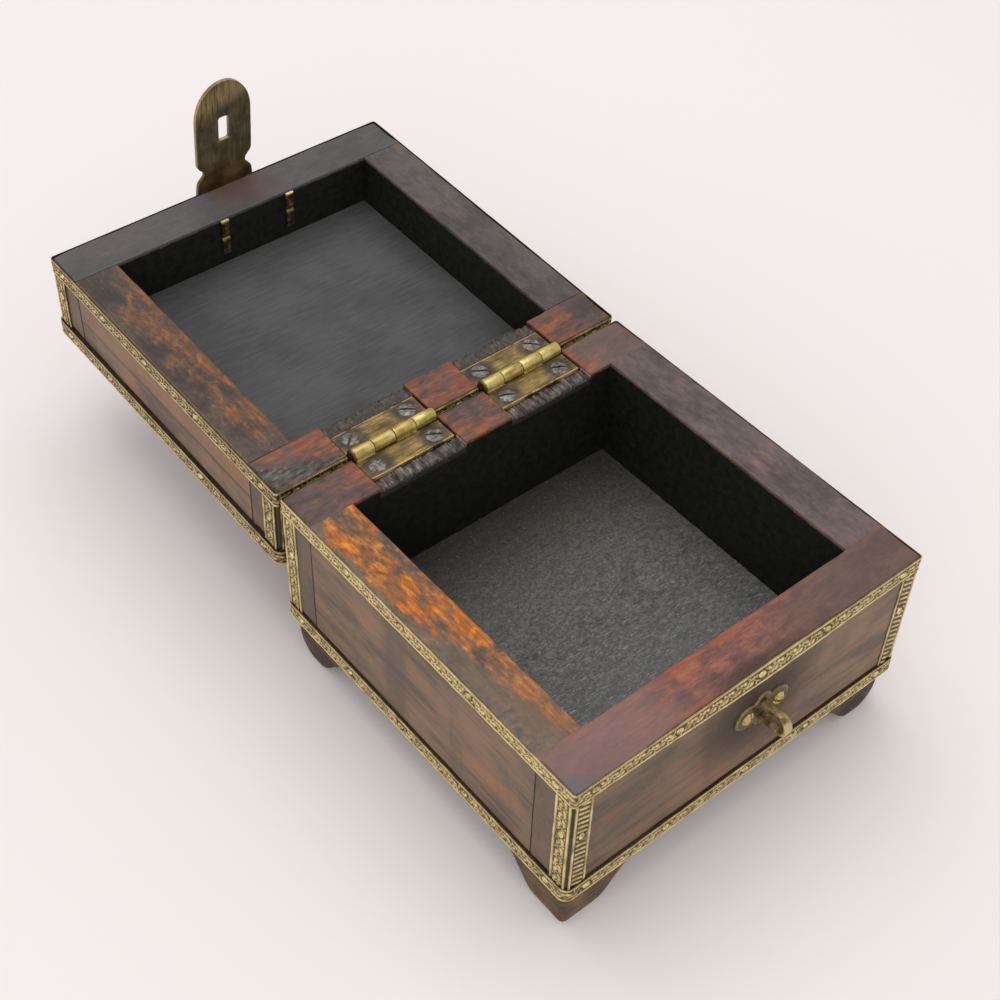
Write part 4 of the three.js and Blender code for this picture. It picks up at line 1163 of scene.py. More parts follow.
def corner_strip(name, body, on_side, seed):
    """An upright strip on one face of a corner: a plain line along both edges, and between them the
    scroll on the side faces and the ladder on the front and back ones."""
    low, high = extent(name, body)
    flat_axis = 0 if high[0] - low[0] < high[1] - low[1] else 1
    across_axis = 1 - flat_axis
    sense = 1 if (low[flat_axis] + high[flat_axis]) / 2 > (0.0, middle_y[body])[flat_axis] else -1
    outward = np.zeros(3)
    outward[flat_axis] = sense
    across = np.zeros(3)
    across[across_axis] = 1
    width, length = high[across_axis] - low[across_axis], high[2] - low[2]
    rise = np.arange(0, length, STAMP_STEP)
    rise = np.append(rise[rise < length - 0.1], length)
    lines = across_lines(width, 28)
    u, v = np.meshgrid(rise, lines, indexing="ij")
    relief = np.maximum(line_ridge(v, 0.6, 0.55), line_ridge(v, width - 0.6, 0.55))
    inside = (1.35, width - 1.35)
    work = scroll(u + seed * 1.7, v, *inside, STRIP_SCROLL) if on_side else ladder(u + seed, v, *inside)
    nail = (length * 0.6, width / 2)
    values, height = strip_face(np.maximum(relief, work), u, v, width, [nail], seed)
    start = low.copy()
    start[flat_axis] = low[flat_axis] if sense > 0 else high[flat_axis]
    path = start + np.column_stack([0 * rise, 0 * rise, rise])
    section, faces = ribbon(path, np.repeat(outward[None], len(rise), 0), across, lines, height, False)
    nails[body].append((start + across * nail[1] + [0, 0, nail[0]], outward, np.array([0, 0, 1.0])))
    make_strip(name, body, section, faces, values)


corners = ("front_left", "front_right", "back_left", "back_right")
strips = [(face + corner, face == "side_") for face in ("", "side_") for corner in corners]
for body in ("base", "lid"):
    for number, (place, on_side) in enumerate(strips):
        corner_strip(f"{body}_strip_{place}", body, on_side, 20 + number)


# The nails: small brass pins with oval heads, driven through the strip every three centimetres or so and at
# the middle of each upright strip. Their heads stand a little proud and are rubbed bright.
HEAD_SHARE = 0.84
HEAD_RISE = 0.66
HEAD_BACK = 0.12
HEAD_SPOKES = 14


def nail_heads(name, body, seed):
    """All the nail heads of one body: each is a dome, its rings of points drawn in towards the crown by
    the cosine and raised by the sine, closed by a flat ring behind."""
    draw = np.random.default_rng(seed)
    spokes = np.arange(HEAD_SPOKES) / HEAD_SPOKES * 2 * np.pi
    shares = np.array([0.0, 0.0, 0.35, 0.7, 1.0]) * np.pi / 2
    rings = np.cos(shares)[:, None]
    rise = np.where(np.arange(len(shares)) == 0, HEAD_BACK, GROUND + HEAD_RISE * np.sin(shares))[:, None]
    points, faces, start = [], [], 0
    for spot, outward, along in nails[body]:
        across = np.cross(outward, along)
        tip = draw.uniform(-0.25, 0.25)
        long_way = along * math.cos(tip) + across * math.sin(tip)
        short_way = np.cross(outward, long_way)
        size = draw.uniform(0.88, 1.1)
        long_part = NAIL_LONG * HEAD_SHARE * size * rings * np.cos(spokes)
        short_part = NAIL_SHORT * HEAD_SHARE * size * rings * np.sin(spokes)
        dome = spot + long_part[..., None] * long_way + short_part[..., None] * short_way
        dome = dome + (rise + 0 * long_part)[..., None] * outward
        dome = np.concatenate([dome, dome[:, :1]], axis=1)
        back_centre = np.repeat((spot + HEAD_BACK * outward)[None, None], HEAD_SPOKES + 1, 1)
        dome = np.concatenate([back_centre, dome], axis=0)
        heading = np.cross(long_way, short_way) @ outward
        rows = grid_faces(*dome.shape[:2], start)
        faces.append(rows if heading < 0 else rows[:, ::-1])
        points.append(dome.reshape(-1, 3))
        start += len(points[-1])
    points, faces = np.concatenate(points), np.concatenate(faces)
    f = Finish(name + "_brass", body)
    rub = f.mottle(1.4, shift=7)
    color = f.ramp(rub, (0.36, tone(150, 128, 76)), (0.5, tone(214, 194, 126)), (0.64, tone(242, 228, 172)))
    finish = f.done(color, f.plus(f.times(rub, 0.3), 0.2), 0.6, bump=f.mottle(0.4, detail=2), depth=0.02)
    make_piece(name, points, faces, body, finish, sharp=70)


nail_heads("base_nails", "base", 5)
nail_heads("lid_nails", "lid", 6)


# The hinges: two pairs of brass butts let into mortises, each leaf a plate with two knuckles rolled round
# the pin. The barrels are filed bright; the leaves are tarnished olive brown and blackened round the
# screws.
PLATE_LOW = -2.5
PLATE_HIGH = -1.0
PLATE_NEAR = 2.8
PLATE_FAR = 12.0
BURR_FALL = 0.12
BARREL = 2.5
BORE = 1.32
KNUCKLE_GAP = 0.25
SCREW_PLACES = ("left_1", "left_2", "right_1", "right_2")
hinge_length = hinge_ends["left"][1][0] - hinge_ends["left"][0][0]
knuckle = (hinge_length - 3 * KNUCKLE_GAP) / 4


def joined_up(pieces):
    """Several pairs of points and faces as one pair: each one's faces count on from the points before
    it."""
    counts = np.cumsum([0] + [len(points) for points, _ in pieces])
    faces = [faces + count for (_, faces), count in zip(pieces, counts)]
    return np.concatenate([points for points, _ in pieces]), np.concatenate(faces)


def barrel(centre, start, end, outer, bore, spokes=36, wobble=0.0, seed=0):
    """A knuckle: a tube along X whose ends are turned in a little at the outer edge. Its section goes
    along the outside, in at the end face, back through the bore and out again, and is carried round the
    axis."""
    soft = 0.22
    ends = np.array([0, 0.3, 1])
    middle = (start + end) / 2
    along = np.concatenate([start + soft * ends, [middle], end - soft * ends[::-1], [end, start]])
    turned_in = np.array([1, 0.3, 0, 0, 0, 0.3, 1]) * soft
    radius = np.concatenate([outer - turned_in, [bore, bore]])
    turns = np.arange(spokes) / spokes * 2 * np.pi
    x = np.repeat(along[:, None], spokes, 1)
    r = np.repeat(radius[:, None], spokes, 1)
    on_tube = np.stack([x, r * np.cos(turns), r * np.sin(turns)], -1).reshape(-1, 3)
    r = r + (wobble * uneven(on_tube, 3.5, seed)).reshape(r.shape) * (r > bore)
    ring = np.stack([x, centre[0] + r * np.cos(turns), centre[1] + r * np.sin(turns)], -1)
    faces = grid_faces(*ring.shape[:2], rows_join=True, columns_join=True)
    return ring.reshape(-1, 3), faces[:, ::-1]


def hinge_finish(name, body):
    """Butt brass: bright and file-marked on the barrels, and on the leaves a tarnish that blackens towards
    the screws and the ends and is rubbed through at the free edge, where a painted highlight runs along it."""
    f = Finish(name, body)
    near_axis = f.far_from(f.y, axis_of[body][0])
    marks = f.mottle(0.35, (1, 7, 7), detail=3, shift=1)
    patches = f.mottle(4.5, (1.6, 1, 1), detail=5, rough=0.6, twist=0.5, shift=4)
    brush = f.mottle(0.5, (12, 1, 1), detail=3, shift=6)
    grain = f.blended((patches, 0.55), (brush, 0.45))
    plate = f.ramp(grain, (0.38, tone(82, 66, 40)), (0.5, tone(118, 97, 58)), (0.62, tone(158, 134, 80)))
    browned = 0.0
    for which in SCREW_PLACES:
        low, high = extent(f"{body}_hinge_screw_{which}", body)
        blotch = f.spot(f.x, f.plus(f.y, f.times(patches, 5), -2.5), (low + high)[:2] / 2, 4.0, 7.6)
        browned = f.math("MAXIMUM", blotch, browned)
    stain = f.ramp(patches, (0.36, tone(36, 28, 20)), (0.5, tone(60, 46, 32)), (0.64, tone(94, 73, 48)))
    plate = f.lay(plate, stain, browned, 0.95)
    # The free edge: rubbed bright, with a painted highlight along it.
    rubbed_and_lit_edge = f.times(f.fade(near_axis, 11.3, 11.9), f.fade(patches, 0.4, 0.52), 0.8)
    plate = f.lay(plate, tone(190, 164, 106), rubbed_and_lit_edge)
    shine = f.blended((marks, 0.25), (patches, 0.75))
    bright_tones = ((0.36, tone(148, 126, 70)), (0.5, tone(198, 176, 104)), (0.64, tone(228, 210, 142)))
    bright = f.ramp(shine, *bright_tones)
    for ends in hinge_ends.values():
        bright = f.lay(bright, tone(48, 40, 28), f.fade(f.far_from(f.x, ends[0][0]), 1.3, 0.5), 0.85)
    color = f.lay(plate, bright, f.fade(near_axis, 2.95, 2.6))
    pits = f.fade(f.mottle(0.8, detail=2, shift=9), 0.7, 0.77)
    color = f.lay(color, tone(58, 47, 32), pits, 0.7)
    gloss = f.plus(f.times(patches, 0.3), f.times(browned, 0.15), 0.2)
    metal = f.plus(f.times(browned, -0.55), 0.75)
    return f.done(color, gloss, metal, bump=f.blended((marks, 0.3), (patches, 0.8)), depth=0.04)


for body, leaf_sense, numbers in (("base", -1, (0, 2)), ("lid", 1, (1, 3))):
    finish = hinge_finish(f"hinge_brass_{body}", body)
    for side, (low, _) in hinge_ends.items():
        start = low[0]
        tabs = [start + n * (knuckle + KNUCKLE_GAP) + np.array([0, knuckle]) for n in numbers]
        across = np.unique(np.concatenate([np.linspace(start, start + hinge_length, 36), *tabs]))
        along = np.concatenate([[0.6, 1.4, 2.2], np.linspace(PLATE_NEAR, PLATE_FAR, 14)])
        grid_x, grid_y = np.meshgrid(across, along, indexing="ij")
        middle_x = (across[:-1] + across[1:]) / 2
        under_tab = np.any([(middle_x > a) & (middle_x < b) for a, b in tabs], axis=0)
        middle_along = (along[:-1] + along[1:]) / 2
        keep = (middle_along[None, :] > PLATE_NEAR) | under_tab[:, None]
        flat = np.column_stack([grid_x.ravel(), grid_y.ravel(), 0 * grid_x.ravel()])
        dents = (0.04 * uneven(flat, 9, 91)).reshape(grid_x.shape)
        upper = PLATE_HIGH + dents - BURR_FALL * step_between(grid_y, PLATE_FAR - 0.8, PLATE_FAR)
        points, faces = slab(grid_x, grid_y, keep, np.full_like(grid_x, PLATE_LOW), upper)
        if leaf_sense < 0:
            points[:, 1] *= -1
            faces = faces[:, ::-1]
        knuckles = [
            barrel(axis_of[body], a, b, BARREL, BORE, wobble=0.035, seed=95 + number)
            for number, (a, b) in enumerate(tabs)
        ]
        points, faces = joined_up([(points + [0, *axis_of[body]], faces), *knuckles])
        name = f"hinge_{side}_{body}_leaf"
        make_piece(name + "_filed", points, faces, body, finish, [name])

f = Finish("blackened_pin", "base")
darkening = f.mottle(1.5)
pin_color = f.ramp(darkening, (0.35, tone(26, 23, 20)), (0.7, tone(70, 58, 40)))
pin_black = f.done(pin_color, 0.45, 0.6, bump=darkening, depth=0.03)
for side in ("left", "right"):
    refinish(f"hinge_{side}_pin", pin_black)


# The screws: steel countersunk screws through the leaves, their slots left at every angle, one of them worn
# nearly flat. The steel is grey and pitted and bright where a screwdriver has slipped.
HEAD_BOTTOM = -0.8
HINGE_SCREW = {"dome": 0.42, "slot_width": 0.85, "flatness": 1.6}


def slotted_head(radius, dome, depth, slot_width, angle, flatness):
    """A screw head as rows of points across a disc: rows follow the slot, each as long as the disc is
    wide there. The top is a dome that falls to the rim by the distance from the middle squared, to the
    power of its flatness, and is cut down by the slot's depth between the two rows at its edges."""
    slot = slot_width / 2
    across_disc = radius * np.sin(np.linspace(-np.pi / 2, np.pi / 2, 19))
    rows = np.sort(np.concatenate([across_disc, [-slot - 0.03, -slot, slot, slot + 0.03]]))
    columns = np.sin(np.linspace(-np.pi / 2, np.pi / 2, 21))
    along = columns[None, :] * np.sqrt(np.clip(radius**2 - rows[:, None] ** 2, 0, None))
    across = np.repeat(rows[:, None], len(columns), 1)
    share = np.clip((along**2 + across**2) / radius**2, 0, 1)
    top = dome * (1 - share**flatness)
    top = top - depth * (np.abs(across) <= slot + 1e-6) * np.minimum(1, (1 - share) * 12 + 0.15)
    keep = np.ones((len(rows) - 1, len(columns) - 1), bool)
    points, faces = slab(across, along, keep, np.full_like(top, HEAD_BOTTOM), top)
    c, s = math.cos(angle), math.sin(angle)
    x, y, z = points.T
    return np.column_stack([y * c - x * s, y * s + x * c, z]), faces[:, ::-1]


def soften(piece, width, segments=2, angle=40):
    """Rounds a piece's sharp edges."""
    bevel = piece.modifiers.new("soft_edges", "BEVEL")
    bevel.width = width * MM
    bevel.segments = segments
    bevel.limit_method = "ANGLE"
    bevel.angle_limit = math.radians(angle)


def steel_finish(name, body):
    """Old screw steel: grey, brown in its pits, bright where a screwdriver has slipped."""
    f = Finish(name, body)
    pits = f.mottle(0.9, detail=6, rough=0.7)
    rub = f.mottle(2.6, detail=3, shift=2)
    level = f.blended((pits, 0.6), (rub, 0.4))
    color = f.ramp(level, (0.38, tone(66, 58, 52)), (0.5, tone(108, 102, 98)), (0.64, tone(168, 166, 164)))
    return f.done(color, f.plus(f.times(pits, 0.3), 0.26), 0.75, bump=pits, depth=0.04)


# The turn of each screw's slot. The base's first screw is the worn one.
SLOT_TURN = {"base": (0.9, -0.55, -0.45, -0.5), "lid": (0.65, -0.6, -0.55, -0.75)}
SLOT_DEEP = 0.75
WORN_SLOT_DEEP = 0.3
for body in ("base", "lid"):
    steel = steel_finish(f"screw_steel_{body}", body)
    for which, angle in zip(SCREW_PLACES, SLOT_TURN[body]):
        node = f"{body}_hinge_screw_{which}"
        low, high = extent(node, body)
        depth = WORN_SLOT_DEEP if node == "base_hinge_screw_left_1" else SLOT_DEEP
        points, faces = slotted_head((high[0] - low[0]) / 2, depth=depth, angle=angle, **HINGE_SCREW)
        seat = [(low[0] + high[0]) / 2, (low[1] + high[1]) / 2, axis_of[body][1] + PLATE_HIGH]
        screw = make_piece(node + "_slotted", points + seat, faces, body, steel, [node])
        soften(screw, 0.08)


# The staple: a scalloped rosette of dark bronzed brass on the base's front, held by two round-head brass
# screws, and a D-shaped bow of flat bar that goes through it into the wood. The hasp's slot drops over
# the bow.
def staple_brass(name, dark, mid, bright, metallic=0.7):
    """Cast brass with a cloudy patina between three tones and a slightly pitted surface. Gives back the
    finish, its colour, and what is left to join to the shader."""
    f = Finish(name, "base")
    patina = f.mottle(3.2, detail=6, rough=0.65, shift=1.3)
    fine = f.mottle(0.5, detail=3, shift=4)
    color = f.ramp(f.blended((patina, 0.7), (fine, 0.3)), (0.4, dark), (0.5, mid), (0.62, bright))
    gloss = f.plus(f.times(patina, 0.35), 0.24)
    return f, color, {"roughness": gloss, "metallic": metallic, "bump": f.plus(patina, fine), "depth": 0.07}


def on_front_wall(points, middle, wall):
    """Stands flat points up on a wall that faces the front: their Y goes up and their Z comes forward."""
    return np.column_stack([middle[0] + points[:, 0], wall - points[:, 2], middle[2] + points[:, 1]])


rosette_half = (rosette_high - rosette_low) / 2
# The rosette's outline: round lobes, each by its middle and radius, and half the height that they reach
# together.
LOBES_HALF = 7.7
SCREW_REACH = 6.8
DISH = 2.9
LOBES = ((0.0, 0.0, 6.1), (-6.6, 0.0, 5.15), (6.6, 0.0, 5.15), (0.0, 4.5, 3.2), (0.0, -4.5, 3.2))
rounds = np.linspace(0, 2 * np.pi, 97)
ray_x, ray_z = np.cos(rounds), np.sin(rounds)
edge = np.zeros_like(rounds)
for lobe_x, lobe_z, lobe_radius in LOBES:
    nearest = ray_x * lobe_x + ray_z * lobe_z
    inside = lobe_radius**2 - lobe_x**2 - lobe_z**2 + nearest**2
    edge = np.maximum(edge, np.where(inside > 0, nearest + np.sqrt(np.clip(inside, 0, None)), 0))
shares = np.array([0.02, 0.2, 0.4, 0.55, 0.68, 0.78, 0.86, 0.92, 0.965, 1.0])
plate_x = shares[:, None] * (edge * ray_x)[None]
plate_z = shares[:, None] * (edge * ray_z)[None] * rosette_half[2] / LOBES_HALF
rim_fall = np.repeat(((1 - shares) / 0.1).clip(0, 1)[:, None] ** 0.5, len(rounds), 1)
from_screw = np.hypot(np.abs(plate_x) - SCREW_REACH, plate_z)
plate_rise = 0.45 + 0.55 * rim_fall - 0.3 * np.exp(-((from_screw / DISH) ** 2))
whole = np.ones((len(shares) - 1, len(rounds) - 1), bool)
points, faces = slab(plate_x, plate_z, whole, np.full_like(plate_rise, 0.02), plate_rise, wrap=True)
points = on_front_wall(points, rosette_middle, rosette_high[1])
values = np.tile(np.repeat(shares, len(rounds)), 2)
f, color, rest = staple_brass("rosette_brass", tone(50, 43, 32), tone(84, 73, 52), tone(128, 111, 76))
from_middle = f.add("Attribute", attribute_name="relief").outputs["Fac"]
color = f.lay(color, tone(150, 132, 92), f.fade(from_middle, 0.88, 0.96), 0.6)
bronze = f.done(color, **rest)
make_piece("rosette", points, faces, "base", bronze, ["staple_plate"], values, sharp=45)


def carried(path, sideways, outline):
    """A closed outline carried along a path in the Y-Z plane. Each section is the outline's first number
    along X and its second along the path's normal; the two ends are closed by the section drawn in to its
    middle."""
    tangent = np.gradient(path, axis=0)
    tangent /= np.linalg.norm(tangent, axis=1, keepdims=True)
    normal = np.column_stack([-tangent[:, 1], tangent[:, 0]])
    y = path[:, 0, None] + normal[:, 0, None] * outline[None, :, 1]
    z = path[:, 1, None] + normal[:, 1, None] * outline[None, :, 1]
    x = sideways + outline[None, :, 0] + 0 * y
    sections = np.stack([x, y, z], -1)
    ends = sections.mean(1, keepdims=True) + 0 * sections
    sections = np.concatenate([ends[:1], sections, ends[-1:]])
    rows, columns = sections.shape[:2]
    i, j = np.meshgrid(np.arange(rows - 1), np.arange(columns), indexing="ij")
    after_j = (j + 1) % columns
    corners = ((i + 1) * columns + j, (i + 1) * columns + after_j, i * columns + after_j, i * columns + j)
    return sections.reshape(-1, 3), np.stack(corners, -1).reshape(-1, 4)


def bar_outline(width, thickness, corner_power, count=28):
    """A flat bar's section, width by thickness: an oval whose cosine and sine are raised to two over a
    power, so that a higher power gives squarer shoulders."""
    t = np.arange(count) / count * 2 * np.pi
    c, s = np.cos(t), np.sin(t)
    x = np.sign(c) * np.abs(c) ** (2 / corner_power) * width / 2
    y = np.sign(s) * np.abs(s) ** (2 / corner_power) * thickness / 2
    return np.column_stack([x, y])


BOW_THICK = 1.7
loop_low, loop_high = extent("staple_loop", "base")
bow_half = (loop_high[2] - loop_low[2]) / 2
bar_middle = bow_half - BOW_THICK / 2
bend_y = loop_low[1] + bow_half
leg = np.linspace(loop_high[1], bend_y, 14)
around = np.linspace(0, np.pi, 25)[1:-1]
path = np.concatenate([
    np.column_stack([leg, np.full_like(leg, bar_middle)]),
    np.column_stack([bend_y - bar_middle * np.sin(around), bar_middle * np.cos(around)]),
    np.column_stack([leg[::-1], np.full_like(leg, -bar_middle)]),
])
bar = bar_outline(loop_high[0] - loop_low[0], BOW_THICK, 3.2)
points, faces = carried(path, (loop_low[0] + loop_high[0]) / 2, bar)
points[:, 2] += (loop_low[2] + loop_high[2]) / 2
points[:, 2] += 0.05 * uneven(points, 4, 71)
f, color, rest = staple_brass("bow_brass", tone(100, 80, 54), tone(144, 120, 80), tone(190, 166, 118))
# A painted highlight on the bow's bend.
highlight_at_bend = f.fade(f.y, bend_y - 2, loop_low[1] + 0.6)
color = f.lay(color, tone(230, 212, 168), highlight_at_bend, 0.6)
make_piece("staple_bow", points, faces, "base", f.done(color, **rest), ["staple_loop"])

STAPLE_SCREW = {"dome": 1.35, "depth": 1.0, "slot_width": 0.75, "flatness": 1.1}
yellow_tones = (tone(150, 126, 64), tone(206, 184, 104), tone(240, 226, 160))
f, color, rest = staple_brass("staple_screw_brass", *yellow_tones, metallic=0.8)
screw_brass = f.done(color, **rest)
for side, angle in (("left", 1.25), ("right", -0.35)):
    node = f"staple_screw_{side}"
    low, high = extent(node, "base")
    points, faces = slotted_head((high[0] - low[0]) / 2, angle=angle, **STAPLE_SCREW)
    points = on_front_wall(points, (low + high) / 2, rosette_low[1])
    soften(make_piece(node + "_domed", points, faces, "base", screw_brass, [node]), 0.08)


# The hasp: one plate of dark brass, wide at the root, waisted, then straight to a round tip, with the slot
# that takes the staple. Its root is rolled round a pin that two cotter pins hold off the lid's front.
hasp_low, hasp_high = extent("hasp_plate", "hasp")
PLATE_THICK = 1.4
ROLL = 2.2
SLOT_WIDE = 4.6
SLOT_TALL = 11.0
SLOT_MIDDLE = 32.3
SLOT_CORNER = 1.1
TIP = 17.0
NECK = 19.0
STRAIGHT_HALF = 12.4
ROOT_TALL = 9.0
WAIST_PLACE = 13.0
WAIST_TALL = 3.0
BORE_IN_ROLL = 1.22
hasp_length = hasp_high[2]
root_half = (hasp_high[0] - hasp_low[0]) / 2


def hasp_half_width(height):
    """Half the plate's width by the height above the pin. The sides are straight, drawn in at the waist
    by a bell curve and out at the root, and the round tip is an oval to the power 2.15."""
    scoop = np.exp(-(np.abs((height - WAIST_PLACE) / WAIST_TALL) ** 2.6))
    waist = STRAIGHT_HALF - (STRAIGHT_HALF - NECK / 2) * scoop
    root = waist + (root_half - STRAIGHT_HALF) * step_between(height, ROOT_TALL, 0)
    tip_share = np.clip((height - (hasp_length - TIP)) / TIP, 0, 1)
    return root * np.sqrt(np.clip(1 - tip_share**2.15, 0, 1))


slot_low, slot_high = SLOT_MIDDLE - SLOT_TALL / 2, SLOT_MIDDLE + SLOT_TALL / 2
towards_tip = np.sin(np.linspace(0, np.pi / 2, 30))[1:]
slot_end = SLOT_CORNER * (1 - np.cos(np.linspace(0, np.pi / 2, 7)))
rise = np.concatenate([
    np.linspace(0.6, slot_low, 44)[:-1], slot_low + slot_end,
    np.linspace(slot_low + SLOT_CORNER, slot_high - SLOT_CORNER, 12)[1:-1], slot_high - slot_end[::-1],
    slot_high + (hasp_length - slot_high) * towards_tip,
])
# The plate's grid runs across in shares of its half width. The slot's cells are left out, and the lines
# beside it are drawn towards its middle near its ends by a quarter circle, which rounds its corners.
slot_share = SLOT_WIDE / 2 / STRAIGHT_HALF
beside = np.linspace(slot_share, 1, 10)
fractions = np.unique(np.concatenate([-beside, np.linspace(-slot_share, slot_share, 9), beside]))
within_slot = np.minimum(rise - slot_low, slot_high - rise)
corner_share = np.clip(1 - within_slot / SLOT_CORNER, 0, 1)
narrowed = SLOT_CORNER * (1 - np.sqrt(1 - corner_share**2)) * np.clip(1 + within_slot / 4, 0, 1)
inner_part = np.minimum(np.abs(fractions) / slot_share, (1 - np.abs(fractions)) / (1 - slot_share))
plate_x = fractions[None, :] * hasp_half_width(rise)[:, None]
plate_x -= narrowed[:, None] * (np.sign(fractions) * inner_part)[None, :]
plate_h = np.repeat(rise[:, None], len(fractions), 1)
middle_h, middle_f = (rise[:-1] + rise[1:]) / 2, (fractions[:-1] + fractions[1:]) / 2
in_slot_height = (middle_h > slot_low) & (middle_h < slot_high)
in_slot = in_slot_height[:, None] & (np.abs(middle_f) < slot_share)[None, :]
flat = np.column_stack([plate_x.ravel(), plate_h.ravel(), 0 * plate_x.ravel()])
wave = (0.05 * uneven(flat, 16, 33) + 0.02 * uneven(flat, 5, 34)).reshape(plate_x.shape)
points, faces = slab(plate_x, plate_h, ~in_slot, ROLL - PLATE_THICK + wave, ROLL + wave)
points = np.column_stack([points[:, 0], points[:, 2], points[:, 1]])
roll = barrel((0, 0), -root_half, root_half, ROLL, BORE_IN_ROLL, spokes=40)
f = Finish("hasp_patina", "hasp")
brushed = f.mottle(0.7, (1, 1, 12), detail=5, rough=0.62)
patina = f.mottle(7, rough=0.6, shift=3)
clouds = f.blended((brushed, 0.4), (patina, 0.6))
color = f.ramp(clouds, (0.4, tone(88, 78, 58)), (0.5, tone(114, 101, 76)), (0.6, tone(140, 124, 92)))
slant = f.plus(f.z, f.times(f.x, -0.35))
gleam = f.times(f.fade(slant, 40, 47), f.fade(slant, 58, 50), f.fade(brushed, 0.3, 0.6), 0.75)
color = f.lay(color, tone(206, 182, 128), gleam)
# A painted highlight down the plate's left edge; the slot's lower lip is brightened as well.
lit_left_edge = f.times(f.fade(f.x, -STRAIGHT_HALF + 0.9, -STRAIGHT_HALF + 0.2), f.fade(f.z, 14, 18), 0.6)
slot_lip = f.times(f.fade(f.far_from(f.x, 0), 3.2, 2.4), f.fade(f.far_from(f.z, slot_low), 0.9, 0.2))
color = f.lay(color, tone(170, 150, 104), f.math("MAXIMUM", lit_left_edge, slot_lip))
root_brown = f.ramp(patina, (0.36, tone(88, 64, 40)), (0.64, tone(132, 100, 58)))
color = f.lay(color, root_brown, f.fade(f.z, 20, 9), 0.7)
gloss = f.plus(f.times(brushed, 0.25), 0.32)
hasp_patina = f.done(color, gloss, 0.6, bump=f.plus(brushed, patina), depth=0.04)
points, faces = joined_up([(points, faces), roll])
hasp = make_piece("hasp_plate_rolled", points, faces, "hasp", hasp_patina, ["hasp_plate"])
soften(hasp, 0.22)


# The pin and the cotters: a brass pin through the hasp's roll, and two split pins of half-round wire. Each
# one's eye holds the pin in front of the lid, and its legs go through the board and are bent flat inside.
LEG_THICK = 1.2
LEG_APART = 0.62
BEND_RADIUS = 0.9
EYE_RADIUS = 1.98
EYE_INWARD = 2.6
EYE_TO_LEG = 1.7
f = Finish("cotter_patina", "lid")
patina = f.mottle(2.2, detail=5, shift=2)
cotter_low, cotter_high = extent("cotter_left", "lid")
cotter_middle = (cotter_low[2] + cotter_high[2]) / 2
leg_reach = (cotter_high[2] - cotter_low[2]) / 2
color = f.ramp(patina, (0.38, tone(52, 40, 28)), (0.52, tone(92, 74, 44)), (0.66, tone(148, 126, 72)))
from_middle = f.plus(f.z, -cotter_middle)
on_leg = f.fade(f.y, cotter_low[1] + 1.6, cotter_low[1] + 1.0)
cut_end = f.fade(from_middle, leg_reach - 0.9, leg_reach - 0.4)
# The cut ends are bright bare metal; the top of the lower bend gets a faint painted highlight.
lower_bend_highlight = f.fade(f.far_from(from_middle, -0.9), 0.8, 0.4)
color = f.lay(color, tone(232, 216, 150), f.plus(cut_end, f.times(lower_bend_highlight, 0.2)), on_leg)
cotter_patina = f.done(color, f.plus(f.times(patina, 0.35), 0.24), 0.7, bump=patina, depth=0.05)
inside_y = cotter_low[1] + LEG_THICK / 2
eye_y = cotter_high[1] - EYE_INWARD
wide = cotter_high[0] - cotter_low[0]
bend = np.linspace(0, np.pi / 2, 10)[1:]
circle = np.linspace(0, 2 * np.pi, 33)[:-1, None]


def cotter_leg(middle_x, sense):
    """One leg: straight in through the board, a quarter turn, then straight up or down the board's
    inside."""
    shank_y = np.linspace(eye_y - EYE_TO_LEG, inside_y + BEND_RADIUS, 16)
    straight_z = np.linspace(LEG_APART + BEND_RADIUS, leg_reach, 12)[1:]
    bent_y = inside_y + BEND_RADIUS * (1 - np.sin(bend))
    bent_z = LEG_APART + BEND_RADIUS * (1 - np.cos(bend))
    y = np.concatenate([shank_y, bent_y, np.full_like(straight_z, inside_y)])
    z = np.concatenate([np.full_like(shank_y, LEG_APART), bent_z, straight_z])
    return carried(np.column_stack([y, sense * z]), middle_x, bar_outline(wide, LEG_THICK * 0.92, 5.0))


def cotter_eye(middle_x):
    """The eye: the wire's section carried round a circle about the hasp's pin."""
    outline = bar_outline(wide, LEG_THICK, 3.5)
    radius = EYE_RADIUS + outline[None, :, 1]
    y, z = eye_y + np.cos(circle) * radius, np.sin(circle) * radius
    ring = np.stack([middle_x + outline[None, :, 0] + 0 * y, y, z], -1)
    faces = grid_faces(*ring.shape[:2], rows_join=True, columns_join=True)
    return ring.reshape(-1, 3), faces[:, ::-1]


for side in ("left", "right"):
    low, high = extent(f"cotter_{side}", "lid")
    middle_x = (low[0] + high[0]) / 2
    points, faces = joined_up([cotter_leg(middle_x, -1), cotter_leg(middle_x, 1), cotter_eye(middle_x)])
    points, node = points + [0, 0, cotter_middle], f"cotter_{side}"
    make_piece(node + "_clinched", points, faces, "lid", cotter_patina, [node])

f = Finish("hasp_pin_patina", "lid")
patina = f.mottle(2.0)
pin_color = f.ramp(patina, (0.35, tone(50, 42, 30)), (0.7, tone(120, 102, 60)))
refinish("hasp_pin", f.done(pin_color, 0.35, 0.8))


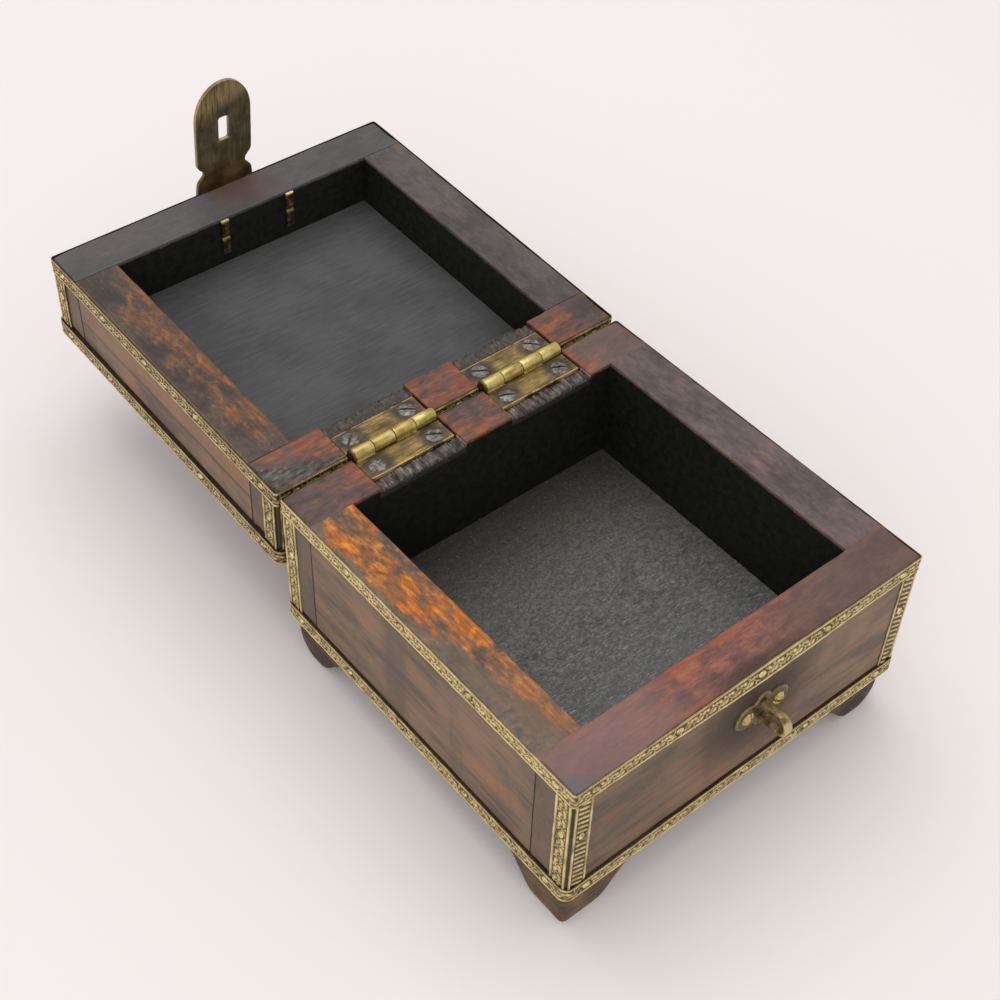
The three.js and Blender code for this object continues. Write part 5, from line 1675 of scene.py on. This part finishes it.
# The floor and the light: a plain pale floor of matt paint that runs on past the picture, under a wide
# soft lamp overhead, a weaker one in front and an even pale room, as in a studio.
FLOOR_HALF = 6
floor_corners = [(x * FLOOR_HALF, y * FLOOR_HALF, 0) for x, y in ((-1, -1), (1, -1), (1, 1), (-1, 1))]
floor_mesh = bpy.data.meshes.new("studio_floor")
floor_mesh.from_pydata(floor_corners, [], [(0, 1, 2, 3)])
floor = bpy.data.objects.new("studio_floor", floor_mesh)
bpy.context.scene.collection.objects.link(floor)
floor_paint = bpy.data.materials.new("pale_floor")
floor_paint.use_nodes = True
shader = floor_paint.node_tree.nodes["Principled BSDF"]
shader.inputs["Base Color"].default_value = tone(244, 238, 237)
shader.inputs["Roughness"].default_value = 0.9
shader.inputs["Specular IOR Level"].default_value = 0.1
floor_mesh.materials.append(floor_paint)

world = bpy.data.worlds.new("pale_room")
world.use_nodes = True
room = world.node_tree.nodes["Background"]
room.inputs["Color"].default_value = (1.0, 0.98, 0.97, 1)
room.inputs["Strength"].default_value = 0.72
bpy.context.scene.world = world


def soft_lamp(name, place, target, size, watts):
    """A square area lamp at a place, facing a target, in metres."""
    lamp = bpy.data.lights.new(name, "AREA")
    lamp.shape = "SQUARE"
    lamp.size = size
    lamp.energy = watts
    holder = bpy.data.objects.new(name, lamp)
    bpy.context.scene.collection.objects.link(holder)
    away = np.array(place, float) - np.array(target, float)
    away /= np.linalg.norm(away)
    side = np.cross((0, 1, 0.01), away)
    side /= np.linalg.norm(side)
    up = np.cross(away, side)
    holder.matrix_world = Matrix.Translation(place) @ Matrix((side, up, away)).transposed().to_4x4()


soft_lamp("overhead", (0.15, 0.35, 1.3), (0, 0, 0.05), 1.2, 6.0)
soft_lamp("front_fill", (-0.9, -0.9, 0.7), (0, -0.05, 0.05), 0.9, 3.5)
bpy.context.scene.view_settings.view_transform = "Standard"


# The camera: where the picture was taken from, found from the box's own edges. Its place is in
# millimetres from the middle of the base's rim, and its turn is a heading, a downward tilt and a slight
# roll.
CAMERA_PLACE = np.array([-269.868, -261.522, 402.098])
HEADING, DOWN_TILT, ROLL_TURN = np.radians([-40.9394, 46.2560, -2.29296])
LENS = 60.6
level_part = math.cos(DOWN_TILT)
behind = np.array([math.sin(HEADING) * level_part, -math.cos(HEADING) * level_part, math.sin(DOWN_TILT)])
level = np.cross(-behind, (0, 0, 1.0))
level /= np.linalg.norm(level)
drop = np.cross(-behind, level)
right = math.cos(ROLL_TURN) * level + math.sin(ROLL_TURN) * drop
down = -math.sin(ROLL_TURN) * level + math.cos(ROLL_TURN) * drop
rim_middle = np.array([0, base_middle, base_rim])
camera = bpy.data.objects.new("camera", bpy.data.cameras.new("camera"))
camera.data.lens = LENS
camera.data.sensor_width = 36
camera.data.clip_start = 0.01
bpy.context.scene.collection.objects.link(camera)
turn = Matrix((right, -down, behind)).transposed().to_4x4()
camera.matrix_world = Matrix.Translation((CAMERA_PLACE + rim_middle) * MM) @ turn
bpy.context.scene.camera = camera
